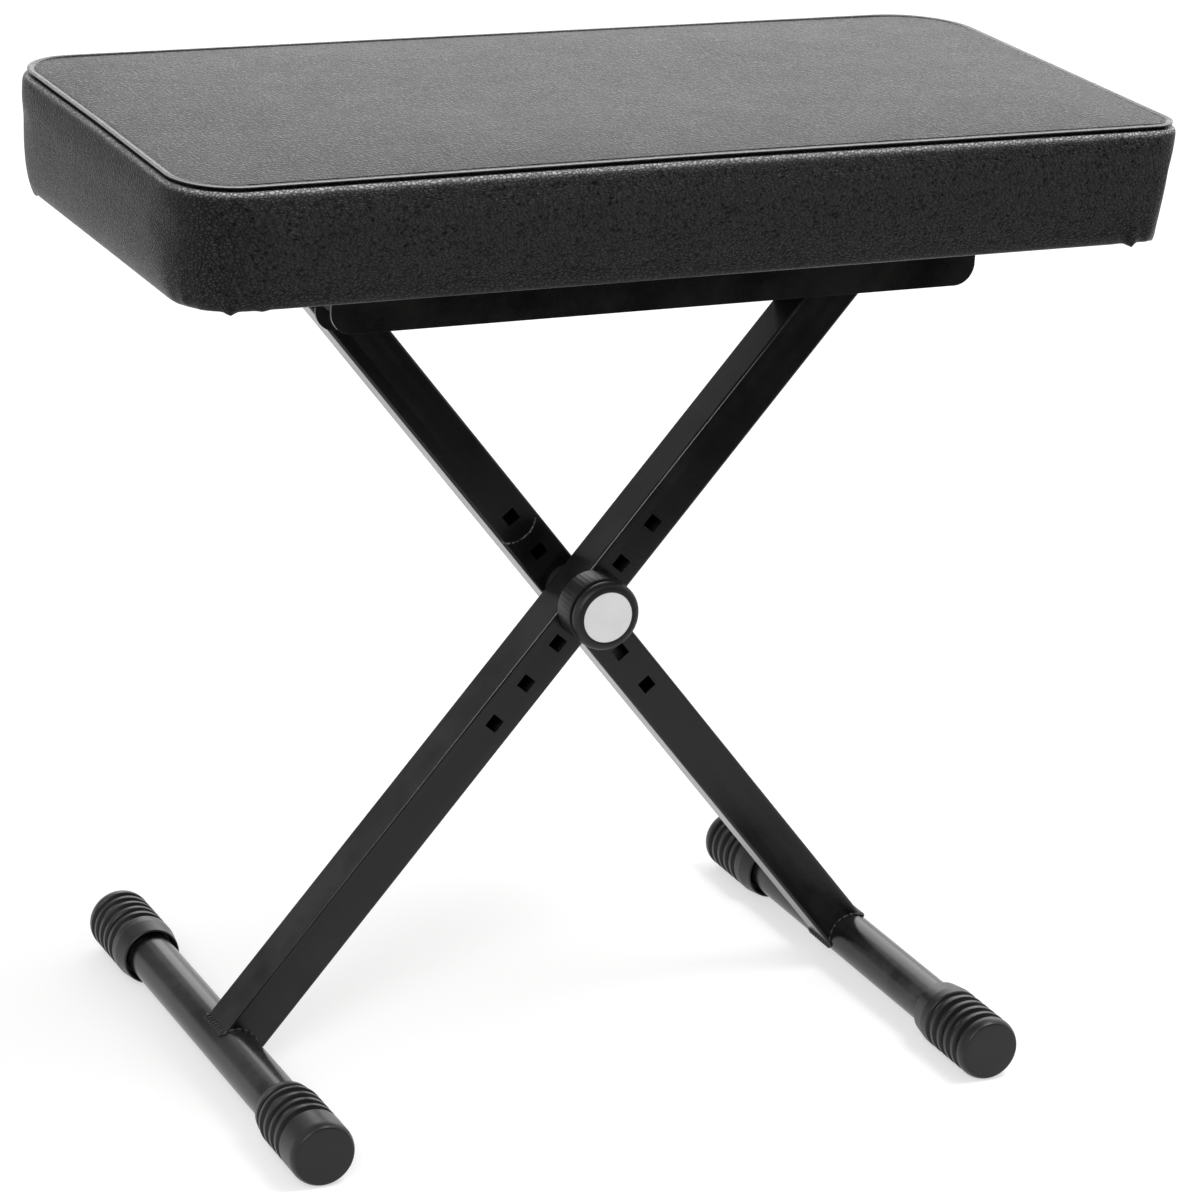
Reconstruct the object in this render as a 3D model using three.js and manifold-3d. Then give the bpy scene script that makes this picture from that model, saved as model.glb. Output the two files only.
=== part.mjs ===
// Folding keyboard bench: a padded seat on a steel rail, carried by two crossed square legs
// that share one clamp bolt with a hand knob. Millimetres, +Z up, the front faces -Y.
// The origin is on the floor, under the middle of the bench, in the plane between the legs.

import * as THREE from 'three';
import { mergeVertices } from 'three/addons/utils/BufferGeometryUtils.js';
import Module from 'manifold-3d';

const wasm = await Module();
wasm.setup();

// Fits that many pieces share
const partGap = 0.3;
const runningGap = 0.05;
const cutOverrun = 2;

// Cushion
const seatLength = 600;
const seatWidth = 295;
const seatEdgeHeight = 579.5;
const seatDepth = 72;
const seatOffset = -8;
const seatCornerRadius = 34;
const seatCrown = 5;
const sideDrawIn = 5.5;
const coverThickness = 1.2;
const coverTuckWidth = 25;
const coverEdgeRadius = 2.5;
const pipingRadius = 2.2;
const boardThickness = 12;

// Rail under the seat
const railLength = 412;
const railPivotMargin = 14.4;
const railWall = 2;
const railFrontDepth = 54.5;
const railRearDepth = 62;
const railRearSetback = 3.5;
const railCornerRadius = 13;
const railBendRadius = 3;
const railSideClearance = 1;
const railScrewRadius = 2.5;
const railScrewHeadRadius = 5;
const railScrewHeadHeight = 2.6;
const railScrewLength = 12;
const railScrewShares = [0.07, 0.288, 0.506, 0.724];
const railScrewSpread = 9;

// Legs
const legSide = 28;
const legWall = 1.5;
const legCornerRadius = 2;
const legGap = 4.7;
const legAAngle = 50;
const legBAngle = 50.6;
const crossHeight = 276.5;
const crossOffset = 2;
const legHoleSide = 8.5;
const legHolePitch = 30;
const legHolesAbove = 2;
const legHolesBelow = 3;
const legBTopClearance = 3;
const plugDepth = 8;
const plugHeadThickness = 2;

// Hinge of leg B and slide pin of leg A, each given by how far it lies below the rail's top
const pivotDrop = 42.1;
const pivotBoltRadius = 4;
const pivotHeadRadius = 8;
const pivotHeadHeight = 4.5;
const slideDrop = 29.2;
const slidePinRadius = 4;
const slidePinHeadRadius = 6.5;
const slidePinHeadHeight = 2.5;
const slidePinTail = 2;
const slideSlotClearance = 0.5;
const legATail = 15;
const bushWall = 2;
const bushFlangeRadius = 9;
const washerThickness = 1.5;
const washerRadius = 9;
const clipRadius = 6.5;
const clipThickness = 1;
const nutAcrossFlats = 13;
const nutThickness = 7;

// Floor tubes and their caps
const floorTubeRadius = 14.3;
const floorTubeWall = 1.5;
const floorSpan = 350;
const floorStagger = 1.75;
const capRadius = 19.5;
const capLength = 64;
const capEndThickness = 4;
const capMouthRadius = 17.6;
const capCollarLength = 12;
const capMouthWall = 1.4;
const capMouthDepth = 10;
const capGrooveCount = 5;
const capGroovePitch = 8.2;
const capGrooveWidth = 2.5;
const capGrooveBevel = 0.8;
const capGrooveRadius = 17.4;
const capFirstGroove = 20;
const capFirstGrooveFrontA = 6;
const capEndFaceRadius = 17.6;
const capEndRounding = 6;

// Clamp bolt, friction disc and hand knob
const clampBoltRadius = 4;
const clampNeckSide = 8;
const clampNeckLength = 4;
const clampHeadRadius = 9.5;
const clampHeadHeight = 4;
const frictionDiscRadius = 14;
const knobWasherRadius = 11;
const knobRadius = 21.5;
const knobRimRadius = 21;
const knobDepth = 26;
const knobRimThickness = 6;
const knobGrooveWidth = 2.4;
const knobGrooveDepth = 2.6;
const knobEdgeRadius = 1.8;
const knobDiscRadius = 15.5;
const knobDiscThickness = 1.2;
const knobDiscRecess = 0.4;
const knobInsertRadius = 6.5;
const knobInsertLength = 14;

// Facets: how many straight pieces stand for a round
const roundSegments = 24;
const fineSegments = 36;
const cornerSegments = 4;

// Places that follow from the sizes above. Each cap stands on one of its facets.
const degree = Math.PI / 180;
const floorAxisHeight = capRadius * Math.cos(Math.PI / roundSegments);
const boardBottom = seatEdgeHeight - seatDepth + coverThickness + partGap;
const railTop = boardBottom - partGap;
const legAMiddle = -(legGap + legSide) / 2;
const legBMiddle = (legGap + legSide) / 2;
const legAFront = legAMiddle - legSide / 2;
const legBRear = legBMiddle + legSide / 2;
const railInnerHalf = legSide / 2 + railSideClearance;
const railFrontFace = legAMiddle - railInnerHalf - railWall;
const railRearFace = legAMiddle + railInnerHalf + railWall;
const legARise = { x: Math.cos(legAAngle * degree), z: Math.sin(legAAngle * degree) };
const legBRise = { x: -Math.cos(legBAngle * degree), z: Math.sin(legBAngle * degree) };
const pivotZ = railTop - pivotDrop;
const pivotReach = (pivotZ - crossHeight) / legBRise.z;
const pivotX = crossOffset + pivotReach * legBRise.x;
const slideZ = railTop - slideDrop;
const slideReach = (slideZ - crossHeight) / legARise.z;
const slideX = crossOffset + slideReach * legARise.x;
const railLeft = pivotX - railPivotMargin;
const railRight = railLeft + railLength;
const railScrewPlaces = railScrewShares.map((share) => railLeft + share * railLength);
const legABelow = (crossHeight - floorAxisHeight) / legARise.z;
const legBBelow = (crossHeight - floorAxisHeight) / legBRise.z;
const bushBore = pivotBoltRadius + runningGap;
const bushRadius = bushBore + bushWall;

// Finishes
const material = (color, roughness, metalness = 0) =>
  new THREE.MeshStandardMaterial({ color, roughness, metalness });
const leatherette = () => material(0x1b1b1c, 0.5);
const foamGrey = () => material(0x6d6a63, 0.95);
const plywood = () => material(0x9a7b52, 0.8);
const blackPaint = () => material(0x141414, 0.42);
const blackSteel = () => material(0x1d1d1e, 0.5, 0.3);
const zincSteel = () => material(0xa9abad, 0.35, 0.9);
const blackPlastic = () => material(0x17171a, 0.55);
const nylon = () => material(0x2b2b2d, 0.6);
const brass = () => material(0xb08d4a, 0.35, 0.9);
const lightGrey = () => material(0xd2d2d2, 0.5);

// Mesh to solid and back, for the boolean cuts
function toSolid(geometry) {
  const bare = geometry.index ? geometry.toNonIndexed() : geometry.clone();
  bare.deleteAttribute('normal');
  bare.deleteAttribute('uv');
  const merged = mergeVertices(bare, 1e-4);
  return new wasm.Manifold(new wasm.Mesh({
    numProp: 3,
    vertProperties: new Float32Array(merged.attributes.position.array),
    triVerts: new Uint32Array(merged.index.array),
  }));
}

function toGeometry(solid) {
  const mesh = solid.getMesh();
  const points = new Float32Array(mesh.numVert * 3);
  for (let i = 0; i < mesh.numVert; i += 1) {
    for (let k = 0; k < 3; k += 1) {
      points[3 * i + k] = mesh.vertProperties[mesh.numProp * i + k];
    }
  }
  const geometry = new THREE.BufferGeometry();
  geometry.setAttribute('position', new THREE.BufferAttribute(points, 3));
  geometry.setIndex(Array.from(mesh.triVerts));
  return geometry;
}

function cut(geometry, cutters) {
  let solid = toSolid(geometry);
  for (const cutter of cutters) {
    solid = solid.subtract(toSolid(cutter));
  }
  return toGeometry(solid);
}

// Basic shapes. A turned piece lies along Y, with its profile given as [radius, y] pairs.
function turned(profile, segments = roundSegments) {
  const points = profile.map(([radius, y]) => new THREE.Vector2(radius, y));
  return new THREE.LatheGeometry(points, segments);
}

function rod(radius, from, to, segments = roundSegments) {
  const geometry = new THREE.CylinderGeometry(radius, radius, to - from, segments);
  return geometry.translate(0, (from + to) / 2, 0);
}

function box(width, depth, height) {
  return new THREE.BoxGeometry(width, depth, height);
}

// A plate in the XZ plane, as thick as the stretch of Y from one face to the other
function plate(shape, from, to, segments = cornerSegments) {
  const geometry = new THREE.ExtrudeGeometry(shape, {
    depth: to - from,
    bevelEnabled: false,
    curveSegments: segments,
  });
  return geometry.rotateX(Math.PI / 2).translate(0, to, 0);
}

function ring(outer, inner, from, to, segments = roundSegments) {
  return turned([[inner, from], [outer, from], [outer, to], [inner, to], [inner, from]], segments);
}

function hexagon(acrossFlats) {
  const shape = new THREE.Shape();
  const corner = acrossFlats / 2 / Math.cos(Math.PI / 6);
  for (let i = 0; i < 6; i += 1) {
    const angle = i * Math.PI / 3;
    shape[i === 0 ? 'moveTo' : 'lineTo'](corner * Math.cos(angle), corner * Math.sin(angle));
  }
  shape.closePath();
  return shape;
}

// The cushion's plan: points round a rectangle with round corners, each with its way out
const longSideSteps = 6;
const shortSideSteps = 3;
const smallestCorner = seatCornerRadius / 10;

function planPoints(inset) {
  const halfX = seatLength / 2 - inset;
  const halfY = seatWidth / 2 - inset;
  const radius = Math.max(seatCornerRadius - inset, smallestCorner);
  const points = [];
  for (let corner = 0; corner < 4; corner += 1) {
    const signX = corner === 0 || corner === 3 ? 1 : -1;
    const signY = corner < 2 ? 1 : -1;
    for (let i = 0; i <= cornerSegments + 1; i += 1) {
      const angle = (corner + i / (cornerSegments + 1)) * Math.PI / 2;
      points.push({
        x: signX * (halfX - radius) + radius * Math.cos(angle),
        y: signY * (halfY - radius) + radius * Math.sin(angle),
      });
    }
    const last = points[points.length - 1];
    const steps = corner % 2 === 0 ? longSideSteps : shortSideSteps;
    const end = corner % 2 === 0 ? { x: -last.x, y: last.y } : { x: last.x, y: -last.y };
    for (let i = 1; i < steps; i += 1) {
      points.push({
        x: last.x + (end.x - last.x) * i / steps,
        y: last.y + (end.y - last.y) * i / steps,
      });
    }
  }
  return points;
}

// A closed solid from rings stacked from the bottom middle, out over the rim, to the top middle
function stacked(levels) {
  const positions = [];
  const index = [];
  const rings = levels.map((level) => planPoints(level.inset).map((p) => [p.x, p.y, level.z(p.x, p.y)]));
  const count = rings[0].length;
  for (const points of rings) {
    for (const point of points) {
      positions.push(...point);
    }
  }
  const middle = positions.length / 3;
  positions.push(0, 0, levels[0].z(0, 0));
  positions.push(0, 0, levels[levels.length - 1].z(0, 0));
  for (let i = 0; i < count; i += 1) {
    const next = (i + 1) % count;
    index.push(middle, next, i);
    for (let level = 0; level + 1 < rings.length; level += 1) {
      const low = level * count;
      const high = low + count;
      index.push(low + i, low + next, high + next);
      index.push(low + i, high + next, high + i);
    }
    const top = (rings.length - 1) * count;
    index.push(top + i, top + next, middle + 1);
  }
  return indexed(positions, index);
}

// A closed loop of material round the plan, its section given as [inset, z] pairs
function looped(section) {
  const positions = [];
  const index = [];
  const rings = section.map(([inset, z]) => planPoints(inset).map((p) => [p.x, p.y, z]));
  const count = rings[0].length;
  for (const points of rings) {
    for (const point of points) {
      positions.push(...point);
    }
  }
  for (let level = 0; level < rings.length; level += 1) {
    const low = level * count;
    const high = ((level + 1) % rings.length) * count;
    for (let i = 0; i < count; i += 1) {
      const next = (i + 1) % count;
      index.push(low + i, low + next, high + next);
      index.push(low + i, high + next, high + i);
    }
  }
  return indexed(positions, index);
}

function indexed(positions, index) {
  const geometry = new THREE.BufferGeometry();
  geometry.setAttribute('position', new THREE.Float32BufferAttribute(positions, 3));
  geometry.setIndex(index);
  return geometry;
}

// The model: one group for the seat, one for each leg and one for the knob
const bench = new THREE.Group();
const seat = new THREE.Group();
const railGroup = new THREE.Group();
const legA = new THREE.Group();
const legB = new THREE.Group();
const knob = new THREE.Group();
bench.add(seat, railGroup, legA, legB, knob);
seat.position.set(0, seatOffset, 0);
legA.position.set(crossOffset, 0, crossHeight);
legA.rotation.y = Math.PI / 2 - legAAngle * degree;
legB.position.set(crossOffset, 0, crossHeight);
legB.rotation.y = legBAngle * degree - Math.PI / 2;
knob.position.set(crossOffset, 0, crossHeight);

function place(group, name, geometry, finish, x = 0, y = 0, z = 0) {
  const mesh = new THREE.Mesh(geometry, finish);
  mesh.name = name;
  mesh.position.set(x, y, z);
  group.add(mesh);
  return mesh;
}

// Cushion: crown on the top, sides drawn in towards the board, a seam with piping at the top edge
const bandHeightShares = [0, 0.1, 0.45, 1];
const bandDrawInShares = [1, 0.78, 0.3, 0.2];
const bandBottom = seatEdgeHeight - seatDepth;
const bandTop = seatEdgeHeight - pipingRadius - partGap;
const panelInset = 2 * pipingRadius + partGap;
const panelRingShares = [0, 0.12, 0.45, 0.85];

function crownHeight(x, y) {
  const along = x / (seatLength / 2 - panelInset);
  const across = y / (seatWidth / 2 - panelInset);
  return seatCrown * (1 - along ** 4) * (1 - across ** 2);
}

function panelLevels(drop) {
  return panelRingShares.map((share) => ({
    inset: panelInset + share * (seatWidth / 2 - panelInset),
    z: (x, y) => seatEdgeHeight + crownHeight(x, y) - drop,
  }));
}

function bandInset(share) {
  const upper = bandHeightShares.findIndex((height) => height >= share && height > 0);
  const span = bandHeightShares[upper] - bandHeightShares[upper - 1];
  const part = (share - bandHeightShares[upper - 1]) / span;
  const low = bandDrawInShares[upper - 1];
  return sideDrawIn * (low + part * (bandDrawInShares[upper] - low));
}

function buildCushion() {
  const outer = bandHeightShares.map((share) => [
    bandInset(share),
    bandBottom + coverEdgeRadius + share * (bandTop - bandBottom - coverEdgeRadius),
  ]);
  const inner = outer.map(([inset, z]) => [inset + coverThickness, z]).reverse();
  const foldOuter = [sideDrawIn + coverEdgeRadius, bandBottom];
  const foldEnd = sideDrawIn + coverTuckWidth;
  place(seat, 'cover_side_band', looped([
    [foldEnd, bandBottom + coverThickness],
    [foldEnd, bandBottom],
    foldOuter,
    ...outer,
    ...inner,
    [foldOuter[0], bandBottom + coverThickness],
  ]), leatherette());

  const pipingSides = 6;
  const section = [];
  for (let i = 0; i < pipingSides; i += 1) {
    const angle = i * 2 * Math.PI / pipingSides;
    section.push([
      pipingRadius - pipingRadius * Math.cos(angle),
      seatEdgeHeight + pipingRadius * Math.sin(angle),
    ]);
  }
  place(seat, 'cover_piping', looped(section), leatherette());

  place(seat, 'cover_top_panel', stacked([
    ...panelLevels(coverThickness).reverse(),
    ...panelLevels(0),
  ]), leatherette());

  const boardInset = bandInset(0) + coverThickness + partGap;
  const boardTop = boardBottom + boardThickness;
  const flat = (z) => () => z;
  const boardChamfer = coverEdgeRadius - coverThickness;
  const board = stacked([
    { inset: boardInset + boardChamfer, z: flat(boardBottom) },
    { inset: boardInset, z: flat(boardBottom + boardChamfer) },
    { inset: boardInset, z: flat(boardTop) },
  ]);
  const pilots = railScrewPlaces.map((x, i) => rod(railScrewRadius + partGap / 2, -railScrewLength, 0)
    .rotateX(-Math.PI / 2)
    .translate(x, legAMiddle - seatOffset + screwSide(i), boardBottom - partGap));
  place(seat, 'seat_board', cut(board, pilots), plywood());

  const foamBottom = boardTop + partGap;
  const foamWaist = bandBottom + coverEdgeRadius + bandHeightShares[2] * (bandTop - bandBottom - coverEdgeRadius);
  const foamInset = (share) => bandInset(share) + coverThickness + partGap;
  const foamEdge = bandTop - pipingRadius;
  const underPanel = panelLevels(coverThickness + partGap).slice(1);
  place(seat, 'seat_foam', stacked([
    { inset: boardInset, z: flat(foamBottom) },
    { inset: foamInset(bandHeightShares[2]), z: flat(foamWaist) },
    { inset: foamInset(1), z: flat(foamEdge) },
    ...underPanel,
  ]), foamGrey());
}

// The screws stand by turns ahead of and behind the rail's middle
function screwSide(i) {
  return i % 2 === 0 ? railScrewSpread : -railScrewSpread;
}

// Rail: a pressed channel, open below, with a slot for the slide pin in both flanges
function flangeShape(left, right, depth) {
  const shape = new THREE.Shape();
  shape.moveTo(left, 0);
  shape.lineTo(left, railCornerRadius - depth);
  shape.absarc(left + railCornerRadius, railCornerRadius - depth, railCornerRadius, Math.PI, 1.5 * Math.PI);
  shape.lineTo(right - railCornerRadius, -depth);
  shape.absarc(right - railCornerRadius, railCornerRadius - depth, railCornerRadius, 1.5 * Math.PI, 2 * Math.PI);
  shape.lineTo(right, 0);
  shape.closePath();
  return shape;
}

function channelShape() {
  const shape = new THREE.Shape();
  const half = railInnerHalf + railWall;
  const inner = railBendRadius - railWall;
  shape.moveTo(-half, -railFrontDepth);
  shape.lineTo(-half, -railBendRadius);
  shape.absarc(railBendRadius - half, -railBendRadius, railBendRadius, Math.PI, Math.PI / 2, true);
  shape.lineTo(half - railBendRadius, 0);
  shape.absarc(half - railBendRadius, -railBendRadius, railBendRadius, Math.PI / 2, 0, true);
  shape.lineTo(half, -railRearDepth);
  shape.lineTo(railInnerHalf, -railRearDepth);
  shape.lineTo(railInnerHalf, -railBendRadius);
  shape.absarc(half - railBendRadius, -railBendRadius, inner, 0, Math.PI / 2);
  shape.lineTo(railBendRadius - half, -railWall);
  shape.absarc(railBendRadius - half, -railBendRadius, inner, Math.PI / 2, Math.PI);
  shape.lineTo(-railInnerHalf, -railFrontDepth);
  shape.closePath();
  return shape;
}

function slotCutter() {
  const half = slidePinRadius + slideSlotClearance;
  const end = railRight + cutOverrun - slideX;
  const shape = new THREE.Shape();
  shape.moveTo(end, -half);
  shape.lineTo(end, half);
  shape.lineTo(0, half);
  shape.absarc(0, 0, half, Math.PI / 2, 1.5 * Math.PI);
  shape.closePath();
  return plate(shape, railFrontFace - cutOverrun, railRearFace + cutOverrun).translate(slideX, 0, slideZ);
}

function buildRail() {
  const channel = new THREE.ExtrudeGeometry(channelShape(), {
    depth: railLength,
    bevelEnabled: false,
    curveSegments: cornerSegments,
  });
  channel.rotateX(Math.PI / 2).rotateZ(Math.PI / 2).translate(railLeft, legAMiddle, railTop);
  const front = flangeShape(railLeft, railRight, railFrontDepth);
  const rear = flangeShape(railLeft + railRearSetback, railRight, railRearDepth);
  const segments = 2 * cornerSegments;
  const sides = toSolid(plate(front, railFrontFace, legAMiddle, segments))
    .add(toSolid(plate(rear, legAMiddle, railRearFace, segments)))
    .translate([0, 0, railTop]);
  const blank = toSolid(channel).intersect(sides);
  const pivotHole = rod(bushBore, railRearFace - railWall - cutOverrun, railRearFace + cutOverrun)
    .translate(pivotX, 0, pivotZ);
  const screwHoles = railScrewPlaces.map((x, i) =>
    rod(railScrewRadius + partGap / 2, -railWall - cutOverrun, cutOverrun)
      .rotateX(Math.PI / 2)
      .translate(x, legAMiddle + screwSide(i), railTop));
  const rail = [slotCutter(), pivotHole, ...screwHoles]
    .reduce((solid, cutter) => solid.subtract(toSolid(cutter)), blank);
  place(railGroup, 'seat_rail', toGeometry(rail), blackPaint());

  const headTop = railTop - railWall - partGap;
  railScrewPlaces.forEach((x, i) => {
    const screw = turned([
      [0, -railScrewHeadHeight],
      [railScrewHeadRadius * 0.7, -railScrewHeadHeight],
      [railScrewHeadRadius, 0],
      [railScrewRadius, 0],
      [railScrewRadius, railScrewLength - railScrewRadius],
      [0, railScrewLength],
    ]).rotateX(Math.PI / 2);
    place(railGroup, `rail_screw_${i + 1}`, screw, zincSteel(), x, legAMiddle + screwSide(i), headTop);
  });
}

// Hinge of leg B: the bolt's head lies inside the rail, the nut behind the leg
function buildPivot() {
  const flangeInside = railRearFace - railWall;
  const washerFace = legBRear + partGap + washerThickness;
  const nutFace = washerFace + partGap + nutThickness;
  const bolt = turned([
    [0, flangeInside - partGap - pivotHeadHeight],
    [pivotHeadRadius * 0.75, flangeInside - partGap - pivotHeadHeight],
    [pivotHeadRadius, flangeInside - partGap - pivotHeadHeight / 2],
    [pivotHeadRadius, flangeInside - partGap],
    [pivotBoltRadius, flangeInside - partGap],
    [pivotBoltRadius, nutFace + washerThickness],
    [0, nutFace + washerThickness],
  ]);
  place(railGroup, 'pivot_bolt', bolt, zincSteel(), pivotX, 0, pivotZ);
  const washer = ring(washerRadius, bushBore, legBRear + 2 * partGap, washerFace);
  place(railGroup, 'pivot_washer', washer, zincSteel(), pivotX, 0, pivotZ);
  const nut = cut(plate(hexagon(nutAcrossFlats), washerFace + partGap, nutFace), [
    rod(bushBore, washerFace - cutOverrun, nutFace + cutOverrun),
  ]);
  place(railGroup, 'pivot_nut', nut, zincSteel(), pivotX, 0, pivotZ);
}

// Square leg tube in its own frame: the clamp bolt at the origin, +Z along the leg to the seat
function tubeShape() {
  const half = legSide / 2;
  const inner = half - legWall;
  const r = legCornerRadius;
  const shape = new THREE.Shape();
  shape.moveTo(half, r - half);
  shape.lineTo(half, half - r);
  shape.absarc(half - r, half - r, r, 0, Math.PI / 2);
  shape.lineTo(r - half, half);
  shape.absarc(r - half, half - r, r, Math.PI / 2, Math.PI);
  shape.lineTo(-half, r - half);
  shape.absarc(r - half, r - half, r, Math.PI, 1.5 * Math.PI);
  shape.lineTo(half - r, -half);
  shape.absarc(half - r, r - half, r, 1.5 * Math.PI, 2 * Math.PI);
  const hollow = new THREE.Path();
  hollow.moveTo(inner, inner);
  hollow.lineTo(inner, -inner);
  hollow.lineTo(-inner, -inner);
  hollow.lineTo(-inner, inner);
  hollow.closePath();
  shape.holes.push(hollow);
  return shape;
}

function squareTube(middle, below, above, extraCutters) {
  const tube = new THREE.ExtrudeGeometry(tubeShape(), {
    depth: below + above,
    bevelEnabled: false,
    curveSegments: cornerSegments - 1,
  });
  tube.translate(0, middle, -below);
  const through = legSide + 2 * cutOverrun;
  const holes = [];
  for (let i = -legHolesBelow; i <= legHolesAbove; i += 1) {
    holes.push(box(legHoleSide, through, legHoleSide).translate(0, middle, i * legHolePitch));
  }
  const cope = rod(floorTubeRadius + partGap, middle - through, middle + through, fineSegments)
    .translate(0, 0, -below);
  return cut(tube, [...holes, cope, ...extraCutters]);
}

// Nylon bush: a sleeve through the tube's wall, with its flange outside
function bush(faceY, outward, flangeThickness) {
  const inside = faceY - outward * (legWall + partGap);
  const flangeFace = faceY + outward * flangeThickness;
  const seatY = faceY + outward * partGap / 2;
  const profile = [
    [bushBore, inside],
    [bushRadius, inside],
    [bushRadius, seatY],
    [bushFlangeRadius, seatY],
    [bushFlangeRadius, flangeFace],
    [bushBore, flangeFace],
    [bushBore, inside],
  ];
  return turned(outward > 0 ? profile : profile.reverse());
}

// Ribbed floor cap: its mouth at y = 0, its end face at y = -capLength
function capEnvelope(depth) {
  const fromEnd = capLength - depth;
  if (depth < capCollarLength) {
    return capMouthRadius + (capRadius - capMouthRadius) * depth / capCollarLength;
  }
  if (fromEnd < capEndRounding) {
    return capRadius - (capRadius - capEndFaceRadius) * (1 - fromEnd / capEndRounding) ** 2;
  }
  return capRadius;
}

function floorCap(firstGroove) {
  const bore = floorTubeRadius + partGap;
  const mouth = capMouthRadius - capMouthWall;
  const depths = [0];
  if (firstGroove > capCollarLength) {
    depths.push(capCollarLength);
  }
  const grooves = [];
  for (let i = 0; i < capGrooveCount; i += 1) {
    const start = firstGroove + i * capGroovePitch;
    grooves.push([start, start + capGrooveWidth]);
    depths.push(start - capGrooveBevel, start, start + capGrooveWidth, start + capGrooveWidth + capGrooveBevel);
  }
  depths.push(capLength - capEndRounding, capLength - capEndRounding / 3, capLength);
  const inGroove = (depth) => grooves.some(([from, to]) => depth >= from && depth <= to);
  const outside = depths.map((depth) => [inGroove(depth) ? capGrooveRadius : capEnvelope(depth), -depth]);
  return turned([
    [0, capEndThickness - capLength],
    [bore, capEndThickness - capLength],
    [bore, -capMouthDepth],
    [mouth, -capMouthDepth],
    [mouth, 0],
    ...outside,
    [0, -capLength],
  ].reverse());
}

// The caps turn back by their leg's slope, so that a facet lies flat on the floor. The two
// tubes are staggered along Y, as their legs are
function buildFloorTube(group, letter, below, frontGroove, shift) {
  const half = floorSpan / 2;
  const tubeHalf = half - capEndThickness - partGap;
  const tube = ring(floorTubeRadius, floorTubeRadius - floorTubeWall, -tubeHalf, tubeHalf, fineSegments);
  place(group, `floor_tube_${letter}`, tube, blackPaint(), 0, shift, -below);
  const turn = Math.PI / roundSegments - group.rotation.y;
  const front = floorCap(frontGroove);
  const frontMouth = shift + capLength - half;
  const frontCap = place(group, `floor_cap_${letter}_front`, front, blackPlastic(), 0, frontMouth, -below);
  frontCap.rotation.y = turn;
  const rear = floorCap(capFirstGroove);
  const rearMouth = shift + half - capLength;
  const rearCap = place(group, `floor_cap_${letter}_rear`, rear, blackPlastic(), 0, rearMouth, -below);
  rearCap.rotation.set(0, turn, Math.PI);
}

function buildLegA() {
  const pinHole = rod(bushRadius + runningGap, legAMiddle - legSide, legAMiddle + legSide)
    .translate(0, 0, slideReach);
  const above = slideReach + legATail;
  place(legA, 'leg_a_tube', squareTube(legAMiddle, legABelow, above, [pinHole]), blackPaint());

  const plugSide = legSide - 2 * legWall - 2 * partGap;
  const plug = toSolid(box(legSide, legSide, plugHeadThickness)
    .translate(0, legAMiddle, above + partGap + plugHeadThickness / 2))
    .add(toSolid(box(plugSide, plugSide, plugDepth + 2 * partGap)
      .translate(0, legAMiddle, above + partGap - plugDepth / 2)));
  place(legA, 'leg_a_end_plug', toGeometry(plug), blackPlastic());

  const flange = railSideClearance - partGap / 2;
  const bushFront = bush(legAFront, -1, flange);
  const bushRear = bush(legAMiddle + legSide / 2, 1, flange);
  place(legA, 'leg_a_bush_front', bushFront, nylon(), 0, 0, slideReach);
  place(legA, 'leg_a_bush_rear', bushRear, nylon(), 0, 0, slideReach);

  const headBack = railFrontFace - partGap;
  const clipFace = railRearFace + partGap;
  const pinEnd = clipFace + clipThickness + slidePinTail;
  const pin = turned([
    [0, headBack - slidePinHeadHeight],
    [slidePinHeadRadius * 0.7, headBack - slidePinHeadHeight],
    [slidePinHeadRadius, headBack - slidePinHeadHeight / 3],
    [slidePinHeadRadius, headBack],
    [slidePinRadius, headBack],
    [slidePinRadius, pinEnd],
    [0, pinEnd],
  ]);
  place(legA, 'slide_pin', pin, zincSteel(), 0, 0, slideReach);
  const clip = ring(clipRadius, slidePinRadius + runningGap, clipFace, clipFace + clipThickness);
  place(legA, 'slide_pin_clip', clip, blackSteel(), 0, 0, slideReach);
  buildFloorTube(legA, 'a', legABelow, capFirstGrooveFrontA, floorStagger);
}

// Leg B's top end is cut level, just below the board, so that it clears the board as it folds
function buildLegB() {
  const pinHole = rod(bushRadius + runningGap, legBMiddle - legSide, legBMiddle + legSide)
    .translate(0, 0, pivotReach);
  const topHeight = boardBottom - legBTopClearance - crossHeight;
  const reach = topHeight / legBRise.z + legSide;
  const tilt = Math.PI / 2 - legBAngle * degree;
  const levelCut = box(4 * legSide, 2 * legSide, 4 * legSide)
    .translate(0, legBMiddle, 2 * legSide)
    .rotateY(tilt)
    .translate(0, 0, topHeight / legBRise.z);
  place(legB, 'leg_b_tube', squareTube(legBMiddle, legBBelow, reach, [pinHole, levelCut]), blackPaint());

  const legBFront = legBMiddle - legSide / 2;
  const frontFlange = legBFront - railRearFace - partGap / 2;
  const bushFront = bush(legBFront, -1, frontFlange);
  const bushRear = bush(legBRear, 1, partGap * 1.5);
  place(legB, 'leg_b_bush_front', bushFront, nylon(), 0, 0, pivotReach);
  place(legB, 'leg_b_bush_rear', bushRear, nylon(), 0, 0, pivotReach);
  buildFloorTube(legB, 'b', legBBelow, capFirstGroove, -floorStagger);
}

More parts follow.
